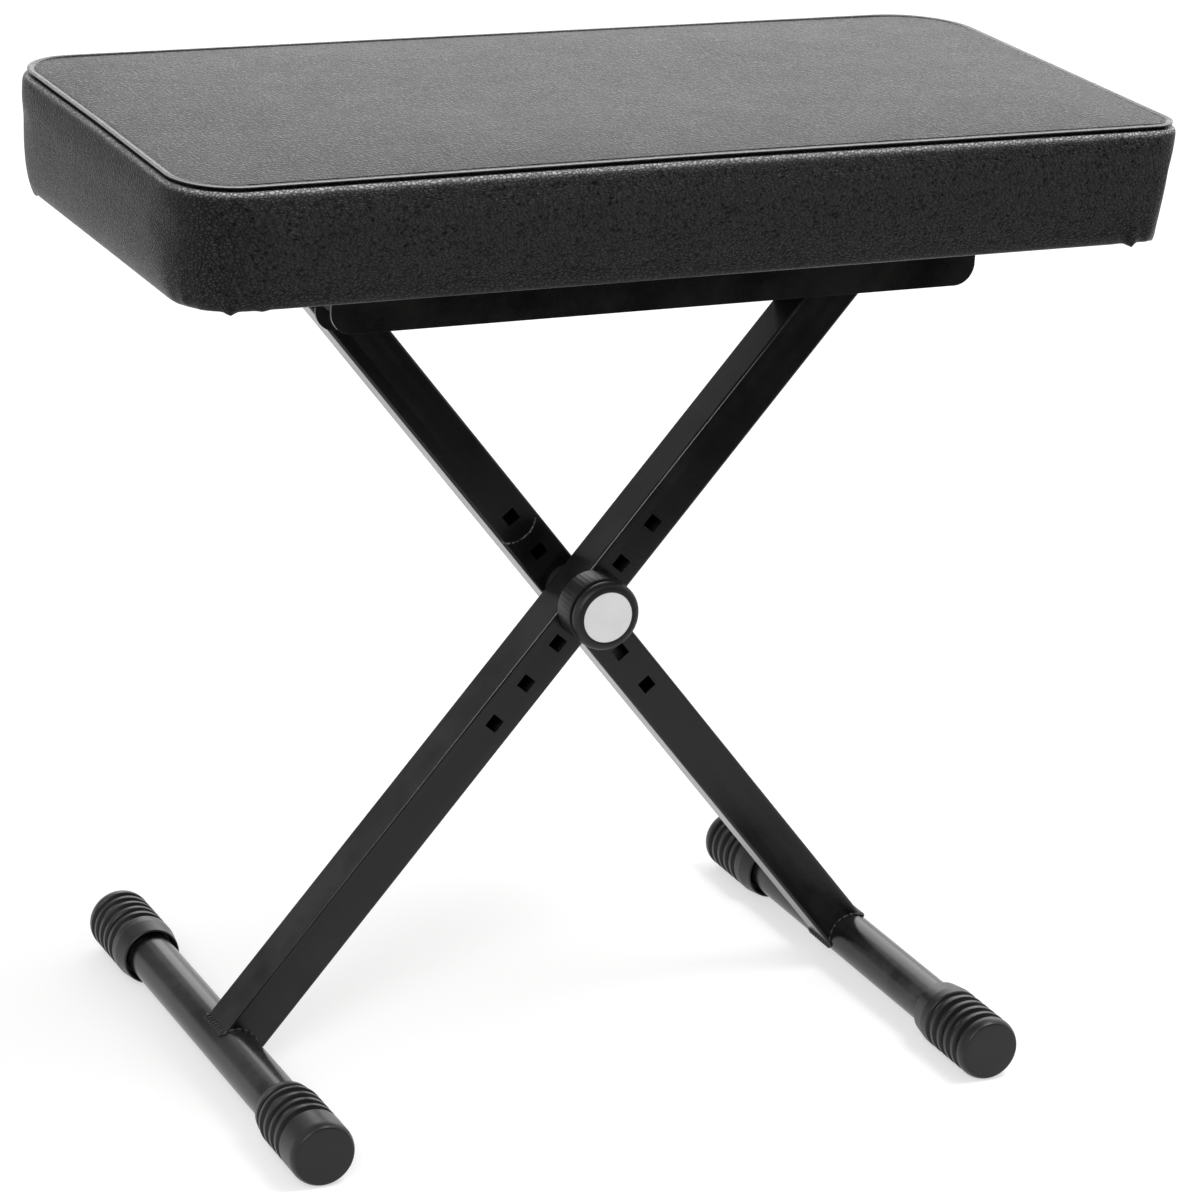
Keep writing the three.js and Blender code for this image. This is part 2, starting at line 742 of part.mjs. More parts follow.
// Clamp bolt, with its head behind leg B and its thread in the knob
function buildClamp() {
  const headFace = legBRear + partGap;
  const boltEnd = legAFront - partGap - knobInsertLength;
  const shank = toSolid(turned([
    [0, boltEnd],
    [clampBoltRadius, boltEnd],
    [clampBoltRadius, headFace],
    [clampHeadRadius, headFace],
    [clampHeadRadius * 0.8, headFace + clampHeadHeight * 0.6],
    [clampHeadRadius * 0.4, headFace + clampHeadHeight * 0.94],
    [0, headFace + clampHeadHeight],
  ]));
  const neck = toSolid(box(clampNeckSide, clampNeckLength + partGap, clampNeckSide)
    .translate(0, headFace - clampNeckLength / 2 + partGap / 2, 0));
  place(legB, 'cross_bolt', toGeometry(shank.add(neck)), blackSteel());
  const disc = ring(frictionDiscRadius, clampBoltRadius + partGap, partGap - legGap / 2, legGap / 2 - partGap);
  place(legB, 'friction_disc', disc, nylon());
}

// Hand knob: a drum with a groove behind its rim and a plain disc let into its face
function buildKnob() {
  const washerBack = legAFront - partGap;
  const washerFront = washerBack - washerThickness;
  const washer = ring(knobWasherRadius, clampBoltRadius + partGap, washerFront, washerBack);
  place(knob, 'knob_washer', washer, zincSteel());

  const back = legAFront - partGap;
  const front = back - knobDepth;
  const recess = washerFront - partGap;
  const insertFront = recess - knobInsertLength;
  const rimBack = front + knobRimThickness;
  const rimInner = knobDiscRadius + runningGap;
  const discBack = front + knobDiscRecess + knobDiscThickness;
  const body = turned([
    [0, discBack],
    [rimInner, discBack],
    [rimInner, front + knobDiscRecess / 2],
    [rimInner + knobDiscRecess, front],
    [knobRimRadius - knobEdgeRadius, front],
    [knobRimRadius - knobEdgeRadius * 0.3, front + knobEdgeRadius * 0.3],
    [knobRimRadius, front + knobEdgeRadius],
    [knobRimRadius, rimBack - knobEdgeRadius / 2],
    [knobRimRadius - knobEdgeRadius / 2, rimBack],
    [knobRadius - knobGrooveDepth, rimBack],
    [knobRadius - knobGrooveDepth, rimBack + knobGrooveWidth],
    [knobRadius - knobEdgeRadius / 2, rimBack + knobGrooveWidth],
    [knobRadius, rimBack + knobGrooveWidth + knobEdgeRadius / 2],
    [knobRadius, back - knobEdgeRadius],
    [knobRadius - knobEdgeRadius, back],
    [knobWasherRadius + partGap, back],
    [knobWasherRadius + partGap, recess],
    [knobInsertRadius + runningGap, recess],
    [knobInsertRadius + runningGap, insertFront],
    [0, insertFront],
  ], fineSegments);
  place(knob, 'knob_body', body, blackPlastic());

  const insert = ring(knobInsertRadius, clampBoltRadius + runningGap, insertFront + partGap / 2, recess);
  place(knob, 'knob_insert', insert, brass());
  const disc = rod(knobDiscRadius, front + knobDiscRecess, discBack - runningGap, fineSegments);
  place(knob, 'knob_disc', disc, lightGrey());
}

buildCushion();
buildRail();
buildPivot();
buildLegA();
buildLegB();
buildClamp();
buildKnob();

export default bench;
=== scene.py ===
"""Folding keyboard bench: a padded seat on a steel rail, carried by two crossed square legs
that share one clamp bolt with a hand knob.

Lengths are metres, +Z is up, and the knob's side faces -Y."""

import math

import bmesh
import bpy
import numpy as np
from mathutils import Matrix, Vector


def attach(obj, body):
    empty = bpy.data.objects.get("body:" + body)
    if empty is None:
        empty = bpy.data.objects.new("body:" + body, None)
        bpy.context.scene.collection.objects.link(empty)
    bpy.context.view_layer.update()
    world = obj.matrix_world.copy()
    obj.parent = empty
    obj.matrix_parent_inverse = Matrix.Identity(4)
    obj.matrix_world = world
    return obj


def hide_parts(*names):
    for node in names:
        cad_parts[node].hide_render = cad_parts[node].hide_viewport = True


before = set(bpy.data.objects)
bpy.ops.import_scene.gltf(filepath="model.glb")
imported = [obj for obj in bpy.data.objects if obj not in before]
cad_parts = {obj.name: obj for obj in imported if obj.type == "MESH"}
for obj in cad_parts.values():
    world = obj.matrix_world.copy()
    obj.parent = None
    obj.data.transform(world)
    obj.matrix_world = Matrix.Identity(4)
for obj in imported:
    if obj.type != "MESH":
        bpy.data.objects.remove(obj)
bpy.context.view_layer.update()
MM = 0.001


# Camera
# The view of the photograph: from the front left, a little above the seat, with a long lens,
# and turned by three degrees about its own line of sight.
camera_data = bpy.data.cameras.new("camera")
camera_data.sensor_width = 36
camera_data.lens = 134.945
camera_data.shift_x = -0.01954
camera_data.shift_y = -0.00532
camera_data.clip_end = 60
camera = bpy.data.objects.new("camera", camera_data)
camera.location = (-1.08567, -2.26934, 1.16610)
camera.rotation_euler = [math.radians(angle) for angle in (70.45323, -2.95669, -25.31162)]
bpy.context.scene.collection.objects.link(camera)
bpy.context.scene.camera = camera
bpy.context.scene.view_settings.view_transform = "Standard"


# Studio
# A pale seamless floor, soft boxes behind and above for the sheen on the seat, and one more
# beside the camera. Two cloths show only in reflections: a black one on the floor in front and
# behind the camera, and a grey one behind at the left.
class Socket:
    """One output of a node. Sums on it add the nodes that work them out."""

    def __init__(self, finish, output):
        self.finish = finish
        self.output = output

    def math(self, operation, first, second=0.0):
        return self.finish.node("ShaderNodeMath", {"operation": operation}, {0: first, 1: second})

    def __add__(self, other):
        return self.math("ADD", self, other)

    def __radd__(self, other):
        return self.math("ADD", other, self)

    def __sub__(self, other):
        return self.math("SUBTRACT", self, other)

    def __rsub__(self, other):
        return self.math("SUBTRACT", other, self)

    def __mul__(self, other):
        return self.math("MULTIPLY", self, other)

    def __rmul__(self, other):
        return self.math("MULTIPLY", other, self)

    def __truediv__(self, other):
        return self.math("DIVIDE", self, other)

    def __pow__(self, other):
        return self.math("POWER", self, other)

    def clamped(self):
        return self.math("MINIMUM", self.math("MAXIMUM", self, 0.0), 1.0)

    def absolute(self):
        return self.math("ABSOLUTE", self)

    def above(self, edge, softness):
        """0 below the edge, 1 above it, over a soft step of the given width."""
        return ((self - (edge - softness / 2)) / softness).clamped()


class Finish:
    """One material and the nodes that make it."""

    def __init__(self, name):
        self.material = bpy.data.materials.new(name)
        self.material.use_nodes = True
        self.tree = self.material.node_tree
        self.tree.nodes.clear()

    def node(self, kind, settings=None, sockets=None, out=0):
        node = self.tree.nodes.new(kind)
        for key, value in (settings or {}).items():
            setattr(node, key, value)
        for key, value in (sockets or {}).items():
            if isinstance(value, Socket):
                self.tree.links.new(value.output, node.inputs[key])
            else:
                node.inputs[key].default_value = value
        return Socket(self, node.outputs[out]) if node.outputs else node

    def place(self):
        """The point's own coordinates on the piece."""
        return self.node("ShaderNodeTexCoord", out=3)

    def axes(self, vector):
        split = self.node("ShaderNodeSeparateXYZ", None, {0: vector})
        node = split.output.node
        return [Socket(self, node.outputs[i]) for i in range(3)]

    def noise(self, vector, scale, detail=2.0, roughness=0.5):
        return self.node("ShaderNodeTexNoise", None, {
            "Vector": vector, "Scale": scale, "Detail": detail, "Roughness": roughness})

    def shade(self, share, low, high):
        """A colour between two, by a share from 0 to 1."""
        return self.node("ShaderNodeMix", {"data_type": "RGBA"}, {
            0: share, 6: (*low, 1), 7: (*high, 1)}, out=2)

    def bump(self, height, strength, distance, normal=None):
        sockets = {"Strength": strength, "Distance": distance, "Height": height}
        if normal is not None:
            sockets["Normal"] = normal
        return self.node("ShaderNodeBump", None, sockets)

    def surface(self, **sockets):
        names = {key.replace("_", " "): value for key, value in sockets.items()}
        shader = self.node("ShaderNodeBsdfPrincipled", None, names)
        self.node("ShaderNodeOutputMaterial", None, {"Surface": shader})
        return self.material


def soft_box(name, place, target, width, height, watts):
    data = bpy.data.lights.new(name, "AREA")
    data.shape = "RECTANGLE"
    data.size = width
    data.size_y = height
    data.energy = watts
    lamp = bpy.data.objects.new(name, data)
    lamp.location = place
    lamp.rotation_euler = (Vector(target) - Vector(place)).to_track_quat("-Z", "Y").to_euler()
    bpy.context.scene.collection.objects.link(lamp)


def stage_mesh(name, corners, faces, material):
    """A flat thing of the studio that is no part of the bench."""
    mesh = bpy.data.meshes.new(name)
    mesh.from_pydata(corners, [], faces)
    mesh.materials.append(material)
    thing = bpy.data.objects.new(name, mesh)
    bpy.context.scene.collection.objects.link(thing)
    return thing


soft_box("soft_box_back", (1.7, 2.6, 1.8), (0.0, 0.0, 0.5), 3.2, 1.8, 42)
soft_box("soft_box_top", (1.0, -0.45, 2.8), (0.0, 0.0, 0.5), 1.1, 1.1, 42)
soft_box("soft_box_front_left", (-1.5, -2.0, 1.75), (0.0, 0.0, 0.4), 1.0, 1.0, 34)

world = bpy.data.worlds.new("studio")
world.use_nodes = True
world_nodes = world.node_tree.nodes
world_nodes.clear()
rays = world_nodes.new("ShaderNodeLightPath")
surround = world_nodes.new("ShaderNodeBackground")
surround.inputs["Color"].default_value = (1, 1, 1, 1)
surround.inputs["Strength"].default_value = 0.6
backdrop = world_nodes.new("ShaderNodeBackground")
backdrop.inputs["Color"].default_value = (1, 1, 1, 1)
backdrop.inputs["Strength"].default_value = 1.0
by_ray = world_nodes.new("ShaderNodeMixShader")
world_output = world_nodes.new("ShaderNodeOutputWorld")
seen_directly = rays.outputs["Is Camera Ray"]
for kind in ("Is Glossy Ray", "Is Transmission Ray"):
    either = world_nodes.new("ShaderNodeMath")
    either.operation = "MAXIMUM"
    world.node_tree.links.new(seen_directly, either.inputs[0])
    world.node_tree.links.new(rays.outputs[kind], either.inputs[1])
    seen_directly = either.outputs[0]
world.node_tree.links.new(seen_directly, by_ray.inputs[0])
world.node_tree.links.new(surround.outputs[0], by_ray.inputs[1])
world.node_tree.links.new(backdrop.outputs[0], by_ray.inputs[2])
world.node_tree.links.new(by_ray.outputs[0], world_output.inputs[0])
bpy.context.scene.world = world

floor_finish = Finish("floor_paper")
ways_seen = [floor_finish.node("ShaderNodeLightPath", out=ray) for ray in (0, 3, 6)]
seen = (ways_seen[0] + ways_seen[1] + ways_seen[2]).clamped()
floor_glow = floor_finish.shade(seen, (0.0, 0.0, 0.0), (0.55, 0.55, 0.55))
floor_paper = floor_finish.surface(
    Base_Color=(0.5, 0.5, 0.5, 1), Roughness=0.9, Specular_IOR_Level=0.0,
    Emission_Color=floor_glow, Emission_Strength=1.0)
floor_corners = [(-9, -9, 0), (9, -9, 0), (9, 9, 0), (-9, 9, 0)]
floor = stage_mesh("studio_floor", floor_corners, [(0, 1, 2, 3)], floor_paper)

black_felt = Finish("black_felt").surface(Base_Color=(0.01, 0.01, 0.01, 1), Roughness=1.0)
black_corners = [(-2.4, -0.78, 0.004), (3.6, -0.78, 0.004), (3.6, -3.4, 0.004),
                 (-2.4, -3.4, 0.004), (-2.4, -3.4, 3.2), (3.6, -3.4, 3.2)]
black_cloth = stage_mesh("black_cloth", black_corners, [(0, 1, 2, 3), (3, 2, 5, 4)], black_felt)
grey_felt = Finish("grey_felt").surface(Base_Color=(0.5, 0.5, 0.5, 1), Roughness=1.0)
grey_corners = [(-2.7, 2.75, 0.35), (-0.6, 2.75, 0.35), (-0.6, 2.75, 2.3), (-2.7, 2.75, 2.3)]
grey_cloth = stage_mesh("grey_cloth", grey_corners, [(0, 1, 2, 3)], grey_felt)
for cloth in (black_cloth, grey_cloth):
    cloth.visible_camera = False
    cloth.visible_diffuse = False
    cloth.visible_shadow = False
    cloth.visible_transmission = False


# Cushion cover
# Black pebbled leatherette pulled over a foam block: a top panel and a band round the sides,
# sewn together at a seam with piping, folded in under the board at its lower edge and stapled.
SEAT_MIDDLE = Vector((0.9, -9.7, 0.0)) * MM
SEAT_HALF_X = 303.4 * MM
SEAT_HALF_Y = 147.5 * MM
SEAT_CORNERS = {(-1, -1): 38 * MM, (1, -1): 19 * MM, (1, 1): 48 * MM, (-1, 1): 36 * MM}
SEAT_EDGE = 579.5 * MM
SEAT_BOTTOM = 507.5 * MM
COVER_THICKNESS = 1.2 * MM
SKIN_PITCH = 5.0 * MM
CORNER_REACH = 50.0 * MM
CORNER_STEPS = 14
LEAST_CORNER = 4.0 * MM
RIGHT_LEAN_IN = 5.0
RIGHT_HEM_OUT = 2.0
LEFT_BULGE = 2.2
LEFT_HEM_IN = 1.2
FRONT_DROP = 1.0
RIGHT_DROP = 0.4
FRONT_LEFT_DROP = 2.1


def add_piece(name, vertices, faces):
    mesh = bpy.data.meshes.new(name)
    mesh.from_pydata([tuple(v) for v in vertices], [], faces)
    work = bmesh.new()
    work.from_mesh(mesh)
    bmesh.ops.recalc_face_normals(work, faces=work.faces)
    work.to_mesh(mesh)
    work.free()
    mesh.shade_smooth()
    piece = bpy.data.objects.new(name, mesh)
    bpy.context.scene.collection.objects.link(piece)
    return piece


def finish_mesh(piece):
    """Applies the piece's modifiers to its mesh."""
    depsgraph = bpy.context.evaluated_depsgraph_get()
    mesh = bpy.data.meshes.new_from_object(piece.evaluated_get(depsgraph))
    piece.modifiers.clear()
    piece.data = mesh


def corner_radius(side, end, inset):
    return max(SEAT_CORNERS[side, end] - inset, LEAST_CORNER)


def plan_edge(side, y, inset):
    """How far the seat's plan reaches to the left (-1) or right (1) at a given y."""
    radius = corner_radius(side, -1 if y < 0 else 1, inset)
    past = max(abs(y) - (SEAT_HALF_Y - inset - radius), 0.0)
    round_part = math.sqrt(max(radius * radius - past * past, 0.0))
    return side * (SEAT_HALF_X - inset - radius + round_part)


def plan_grid(inset):
    """A grid over the seat's plan whose edge follows the rounded outline, as (x, y) rows."""
    half_y = SEAT_HALF_Y - inset
    reach = CORNER_REACH - inset
    side_steps = round(2 * (half_y - reach) / SKIN_PITCH)
    depths = [-half_y + reach - reach * math.cos(i / CORNER_STEPS * math.pi / 2)
              for i in range(CORNER_STEPS)]
    depths += [-(half_y - reach) + 2 * (half_y - reach) * i / side_steps
               for i in range(side_steps + 1)]
    depths += [-y for y in reversed(depths[:CORNER_STEPS])]
    columns = round(2 * SEAT_HALF_X / SKIN_PITCH)
    rows = []
    for y in depths:
        left = plan_edge(-1, y, inset)
        right = plan_edge(1, y, inset)
        rows.append([(left + (right - left) * i / columns, y) for i in range(columns + 1)])
    return rows


def rim_loop(rows):
    """The grid's outer vertices as (row, column), going round from the front left corner."""
    last_row = len(rows) - 1
    last_column = len(rows[0]) - 1
    loop = [(0, c) for c in range(last_column)]
    loop += [(r, last_column) for r in range(last_row)]
    loop += [(last_row, c) for c in range(last_column, 0, -1)]
    loop += [(r, 0) for r in range(last_row, 0, -1)]
    return loop


def outward(x, y, inset=0.0):
    """The way out of the seat's plan at a point of its rim."""
    side = -1 if x < 0 else 1
    end = -1 if y < 0 else 1
    radius = corner_radius(side, end, inset)
    core_x = max(SEAT_HALF_X - inset - radius, 0.0)
    core_y = max(SEAT_HALF_Y - inset - radius, 0.0)
    core = Vector((side * min(abs(x), core_x), end * min(abs(y), core_y)))
    return (Vector((x, y)) - core).normalized()


def crown(x, y, height):
    return height * (1 - (x / SEAT_HALF_X) ** 4) * (1 - (y / SEAT_HALF_Y) ** 2)


def pulled_in(inset, z, way):
    """The band's inset at one height: it leans in below at the seat's right end and bulges at
    its left end."""
    low = max(SEAT_EDGE - z, 0.0) / (SEAT_EDGE - SEAT_BOTTOM)
    at_right = max(way.x, 0.0) ** 2
    at_left = max(-way.x, 0.0) ** 2
    inset += at_right * (RIGHT_LEAN_IN * low ** 1.1 - RIGHT_HEM_OUT * low ** 12) * MM
    inset += at_left * (LEFT_HEM_IN * low ** 12 - LEFT_BULGE * low * (1 - low ** 8)) * MM
    return inset


def lean(piece):
    """Lets the top of the cushion sit a little lower towards its front and its right end, and
    two millimetres more at its front left corner."""
    for vertex in piece.data.vertices:
        across = (vertex.co.x - SEAT_MIDDLE.x) / SEAT_HALF_X
        along = (vertex.co.y - SEAT_MIDDLE.y) / SEAT_HALF_Y
        high = min(max((vertex.co.z - SEAT_BOTTOM) / (SEAT_EDGE - SEAT_BOTTOM), 0.0), 1.0)
        corner = max(-across, 0.0) * max(-along, 0.0)
        drop = RIGHT_DROP + across * RIGHT_DROP - along * FRONT_DROP + corner * FRONT_LEFT_DROP
        vertex.co.z -= drop * high * MM


def seat_skin(name, panel_inset, panel_edge, crown_height, profile, closed=False):
    """A panel over the plan, and below its edge a band that follows the (inset, z) profile. Two
    attributes mark the panel and the painted highlight on the shoulder under the seam."""
    rows = plan_grid(panel_inset)
    width = len(rows[0])
    vertices = [Vector((x, y, panel_edge + crown(x, y, crown_height)))
                for row in rows for x, y in row]
    faces = [(r * width + c, r * width + c + 1, (r + 1) * width + c + 1, (r + 1) * width + c)
             for r in range(len(rows) - 1) for c in range(width - 1)]
    loop = rim_loop(rows)
    previous = [r * width + c for r, c in loop]
    ways = [outward(*rows[r][c], panel_inset) for r, c in loop]
    bands = []
    for inset, z in profile:
        ring = []
        for (r, c), way in zip(loop, ways):
            x, y = rows[r][c]
            out = panel_inset - pulled_in(inset, z, way)
            ring.append(len(vertices))
            vertices.append(Vector((x + way.x * out, y + way.y * out, z)))
        for i in range(len(loop)):
            k = (i + 1) % len(loop)
            faces.append((previous[i], ring[i], ring[k], previous[k]))
        previous = ring
        bands.append(ring)
    if closed:
        faces.append(tuple(previous))
    vertices = [v + SEAT_MIDDLE for v in vertices]
    piece = add_piece(name, vertices, faces)
    panel = piece.data.attributes.new("panel", "FLOAT", "POINT")
    painted_highlight = piece.data.attributes.new("painted_highlight", "FLOAT", "POINT")
    for index in range(len(rows) * width):
        panel.data[index].value = 1.0
    # The shoulder rings under the seam carry their share of a painted highlight, mixed in as paler
    # grey.
    for ring, share in zip(bands[SHOULDER_START:], SHOULDER_HIGHLIGHT):
        for index in ring:
            painted_highlight.data[index].value = share
    return piece, [r * width + c for r, c in loop], bands


PANEL_INSET = 4.4 * MM
PANEL_EDGE = 579.4 * MM
PANEL_CROWN = 3.7 * MM
# Shares of the painted highlight on the band's rings from SHOULDER_START on: the shoulder under the
# seam is painted paler grey.
SHOULDER_HIGHLIGHT = (0.4, 1.0, 1.0, 0.8, 0.3, 0.05)
SHOULDER_START = 4
SEAM_RINGS = 6
HEM_RINGS = 5
SWELL_LIMIT = 2.4 * MM
SWELL_FRAMES = 20
FOAM_PRESSURE = 4.0
BAND = [
    (6.2, 578.6), (6.0, 577.4), (5.0, 576.7), (3.9, 576.7), (2.9, 576.75), (2.1, 576.65),
    (1.4, 576.35), (0.8, 575.85), (0.3, 575.1), (-0.1, 573.9), (-0.3, 572.0), (-0.3, 564.0),
    (0.2, 558.0), (0.9, 552.0), (1.2, 546.0), (1.6, 540.0), (2.1, 534.0), (2.7, 528.0),
    (3.4, 522.0), (4.2, 516.0), (5.0, 511.6), (6.2, 508.8), (8.2, 507.7), (14.0, 507.5),
    (20.0, 507.5), (30.5, 507.5)]
band_profile = [(inset * MM, z * MM) for inset, z in BAND]
cushion, cushion_rim, cushion_bands = seat_skin(
    "cushion_cover", PANEL_INSET, PANEL_EDGE, PANEL_CROWN, band_profile)


def inflate(piece, pinned, limit, pressure):
    """Blows the skin up a little between its pinned seams, as foam fills a cover."""
    rest = np.empty(3 * len(piece.data.vertices))
    piece.data.vertices.foreach_get("co", rest)
    rest = rest.reshape(-1, 3)
    group = piece.vertex_groups.new(name="seams")
    group.add(pinned, 1.0, "REPLACE")
    cloth = piece.modifiers.new("cover", "CLOTH")
    settings = cloth.settings
    settings.quality = 6
    settings.mass = 0.6
    settings.tension_stiffness = 60
    settings.compression_stiffness = 40
    settings.shear_stiffness = 25
    settings.bending_stiffness = 3
    settings.use_pressure = True
    settings.uniform_pressure_force = pressure
    settings.vertex_group_mass = "seams"
    settings.effector_weights.gravity = 0
    cloth.collision_settings.use_collision = False
    cloth.point_cache.frame_start = 1
    cloth.point_cache.frame_end = SWELL_FRAMES
    scene = bpy.context.scene
    for number in range(1, SWELL_FRAMES + 1):
        scene.frame_set(number)
    depsgraph = bpy.context.evaluated_depsgraph_get()
    blown = piece.evaluated_get(depsgraph).to_mesh()
    moved = np.empty(3 * len(blown.vertices))
    blown.vertices.foreach_get("co", moved)
    shift = moved.reshape(-1, 3) - rest
    piece.modifiers.remove(cloth)
    scene.frame_set(1)
    size = np.linalg.norm(shift, axis=1, keepdims=True) + 1e-9
    shift = shift / size * limit * np.tanh(size / limit)
    piece.data.vertices.foreach_set("co", (rest + shift).ravel())
    piece.data.update()
    piece.vertex_groups.clear()
    return float(size.max())


seam_and_hem = cushion_bands[:SEAM_RINGS] + cushion_bands[-HEM_RINGS:]
pinned_rings = cushion_rim + [i for ring in seam_and_hem for i in ring]
swell = inflate(cushion, pinned_rings, SWELL_LIMIT, FOAM_PRESSURE)
print("cushion swelled by", round(swell / MM, 2), "mm before its limit")

refined = cushion.modifiers.new("refined", "SUBSURF")
refined.levels = 1
finish_mesh(cushion)

PLEAT_TOP = 545.0 * MM
PLEAT_HEIGHT = 36.0 * MM
PLEAT_TIP_TOP = 516.0 * MM
PLEAT_WIDTH = 2.6
PLEAT_DIP_WIDTH = 3.0
PLEAT_DIP_AWAY = 6.0
PLEAT_DIP = 0.7
PLEAT_OUT = 0.35
PLEATS = [
    (-295.6, -136.8, 2.6), (-289.0, -143.0, 0.8), (-273.0, -149.6, 2.2), (-255.0, -151.0, 0.9),
    (276.0, -151.3, 2.8), (293.5, -145.0, 1.2), (298.0, -127.0, 2.0), (-293.5, 108.0, 1.6),
    (-279.0, 128.0, 2.2), (-262.0, 131.5, 1.2), (262.0, 130.0, 2.0), (283.0, 117.0, 2.4),
    (293.0, 100.0, 1.4)]


def gather_corners(piece):
    """Small pleats at the hem of each corner, where the flat band is gathered under the board."""
    for vertex in piece.data.vertices:
        if vertex.co.z > PLEAT_TOP:
            continue
        way = outward(vertex.co.x - SEAT_MIDDLE.x, vertex.co.y - SEAT_MIDDLE.y)
        low = min((PLEAT_TOP - vertex.co.z) / PLEAT_HEIGHT, 1.0) ** 2
        for x, y, drop in PLEATS:
            away = math.hypot(vertex.co.x - x * MM, vertex.co.y - y * MM) / MM
            fold = math.exp(-((away / PLEAT_WIDTH) ** 2))
            dip = math.exp(-(((away - PLEAT_DIP_AWAY) / PLEAT_DIP_WIDTH) ** 2))
            out = (fold - dip * PLEAT_DIP) * drop * PLEAT_OUT * low * MM
            vertex.co.x += way.x * out
            vertex.co.y += way.y * out
            if vertex.co.z < PLEAT_TIP_TOP:
                vertex.co.z -= fold * drop * MM


gather_corners(cushion)
lean(cushion)
thicken = cushion.modifiers.new("thickness", "SOLIDIFY")
thicken.thickness = COVER_THICKNESS
thicken.offset = -1
finish_mesh(cushion)
cushion.data.shade_smooth()


PEBBLE_SCALE = 620.0
PEBBLE_STRETCH = (0.62, 0.80, 1.0)
PEBBLE_DRIFT = 0.0036
PEBBLE_STEEPNESS = 2.8
PEBBLE_RELIEF = 0.00066
HEM_STRETCH_TOP = 0.517
HEM_STRETCH_FADE = 0.014
# The grey of the painted highlight on the shoulder under the seam and on the piping's crest.
HIGHLIGHT_GREY = (0.5, 0.5, 0.5, 1)


def leatherette(name, tone=0.016, grain=1.0, roughness=0.36):
    """Pebbled leatherette: rounded grains two millimetres across between fine creases, drawn out a
    little along the seat, smoother on the taut panel and where the hem is stretched over the
    board. Painted shade darkens the creases, and a painted highlight in paler grey lies on the
    shoulder under the seam."""
    finish = Finish(name)
    place = finish.place()
    drift = finish.node("ShaderNodeTexNoise", None, {
        "Vector": place, "Scale": 190.0, "Detail": 2.0}, out=1)
    bent = finish.node("ShaderNodeMix", {"data_type": "VECTOR"}, {
        0: PEBBLE_DRIFT, 4: place, 5: drift}, out=1)
    drawn = finish.node("ShaderNodeMapping", {"vector_type": "POINT"}, {
        "Vector": bent, "Rotation": (0.0, math.radians(14.0), 0.0), "Scale": PEBBLE_STRETCH})
    grains = finish.node("ShaderNodeTexVoronoi", {"feature": "DISTANCE_TO_EDGE"}, {
        "Vector": drawn, "Scale": PEBBLE_SCALE, "Randomness": 1.0})
    dome = (grains * PEBBLE_STEEPNESS).clamped()
    rounded = dome * (2 - dome)
    fine = finish.noise(place, 1100.0, 2.0)
    broad = finish.noise(place, 34.0, 3.0)
    height = finish.axes(place)[2]
    stretched = 1 - height.above(HEM_STRETCH_TOP, HEM_STRETCH_FADE)
    taut = finish.node("ShaderNodeAttribute", {"attribute_name": "panel"}, out=2)
    painted_highlight = finish.node("ShaderNodeAttribute", {"attribute_name": "painted_highlight"}, out=2)
    strength = 1 - stretched * 0.85 - taut * 0.55
    normal = finish.bump((rounded * 0.8 + fine * 0.2) * strength, grain, PEBBLE_RELIEF)
    normal = finish.bump(broad, 0.25, 0.0008, normal)
    # Painted shade: the base colour falls almost to black deep in the creases between the grains.
    colour = finish.shade(rounded ** 2.4, (tone * 0.05,) * 3, (tone * 1.6, tone * 1.6, tone * 1.65))
    # Painted highlight: paler grey mixed in on the shoulder under the seam and on the piping's
    # crest.
    highlight_mix = painted_highlight * (rounded * (0.7 * grain) + (0.85 - 0.7 * grain))
    colour = finish.node("ShaderNodeMix", {"data_type": "RGBA"}, {
        0: highlight_mix, 6: colour, 7: HIGHLIGHT_GREY}, out=2)
    return finish.surface(
        Base_Color=colour, Roughness=broad * 0.08 - rounded * 0.08 + taut * 0.06 + roughness,
        Specular_IOR_Level=0.15, Normal=normal)


cover_finish = leatherette("black_leatherette")
cushion.data.materials.append(cover_finish)
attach(cushion, "seat")
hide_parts("cover_top_panel", "cover_side_band")


# Piping
# A cord wrapped in the same leatherette and sewn into the seam round the top panel, with a dark
# gap under it, where the band below dips in to the stitches.
WELT_RADIUS = 0.9 * MM
WELT_INSET = 3.2 * MM
WELT_HEIGHT = 579.3 * MM
FLANGE_INSET = 3.6 * MM
FLANGE_HEIGHT = 578.9 * MM
FLANGE = [(0.0, 0.3), (0.0, -0.3), (-6.0, -0.6), (-6.0, -0.1)]
WELT_TAIL = [(-0.5, 0.88), (-1.3, 0.75), (-2.3, 0.52), (-3.1, 0.26), (-3.5, -0.1), (-0.9, -0.9)]
# Shares of the painted highlight on the piping's section, on the upper outer side of its cord.
WELT_CREST_HIGHLIGHT = {6: 0.3, 7: 1.0, 8: 0.8}


def outline(inset, step=4 * MM):
    """Points round the seat's plan from the front left corner, each with the way out."""
    points = []
    for (side, end), start in (((-1, -1), 180), ((1, -1), 270), ((1, 1), 0), ((-1, 1), 90)):
        radius = corner_radius(side, end, inset)
        middle = Vector((side * (SEAT_HALF_X - inset - radius),
                         end * (SEAT_HALF_Y - inset - radius)))
        steps = max(round(radius * math.pi / 2 / step), 6)
        arc = [math.radians(start + 90 * i / steps) for i in range(steps + 1)]
        ways = [Vector((math.cos(angle), math.sin(angle))) for angle in arc]
        if points:
            fill_straight(points, middle + ways[0] * radius, step)
        points += [(middle + way * radius, way) for way in ways]
    fill_straight(points, points[0][0], step)
    return points


def fill_straight(points, goal, step):
    """Adds the points of the straight side between one corner and the next."""
    start, way = points[-1]
    steps = round((goal - start).length / step / 2)
    for i in range(1, steps):
        points.append((start.lerp(goal, i / steps), way))


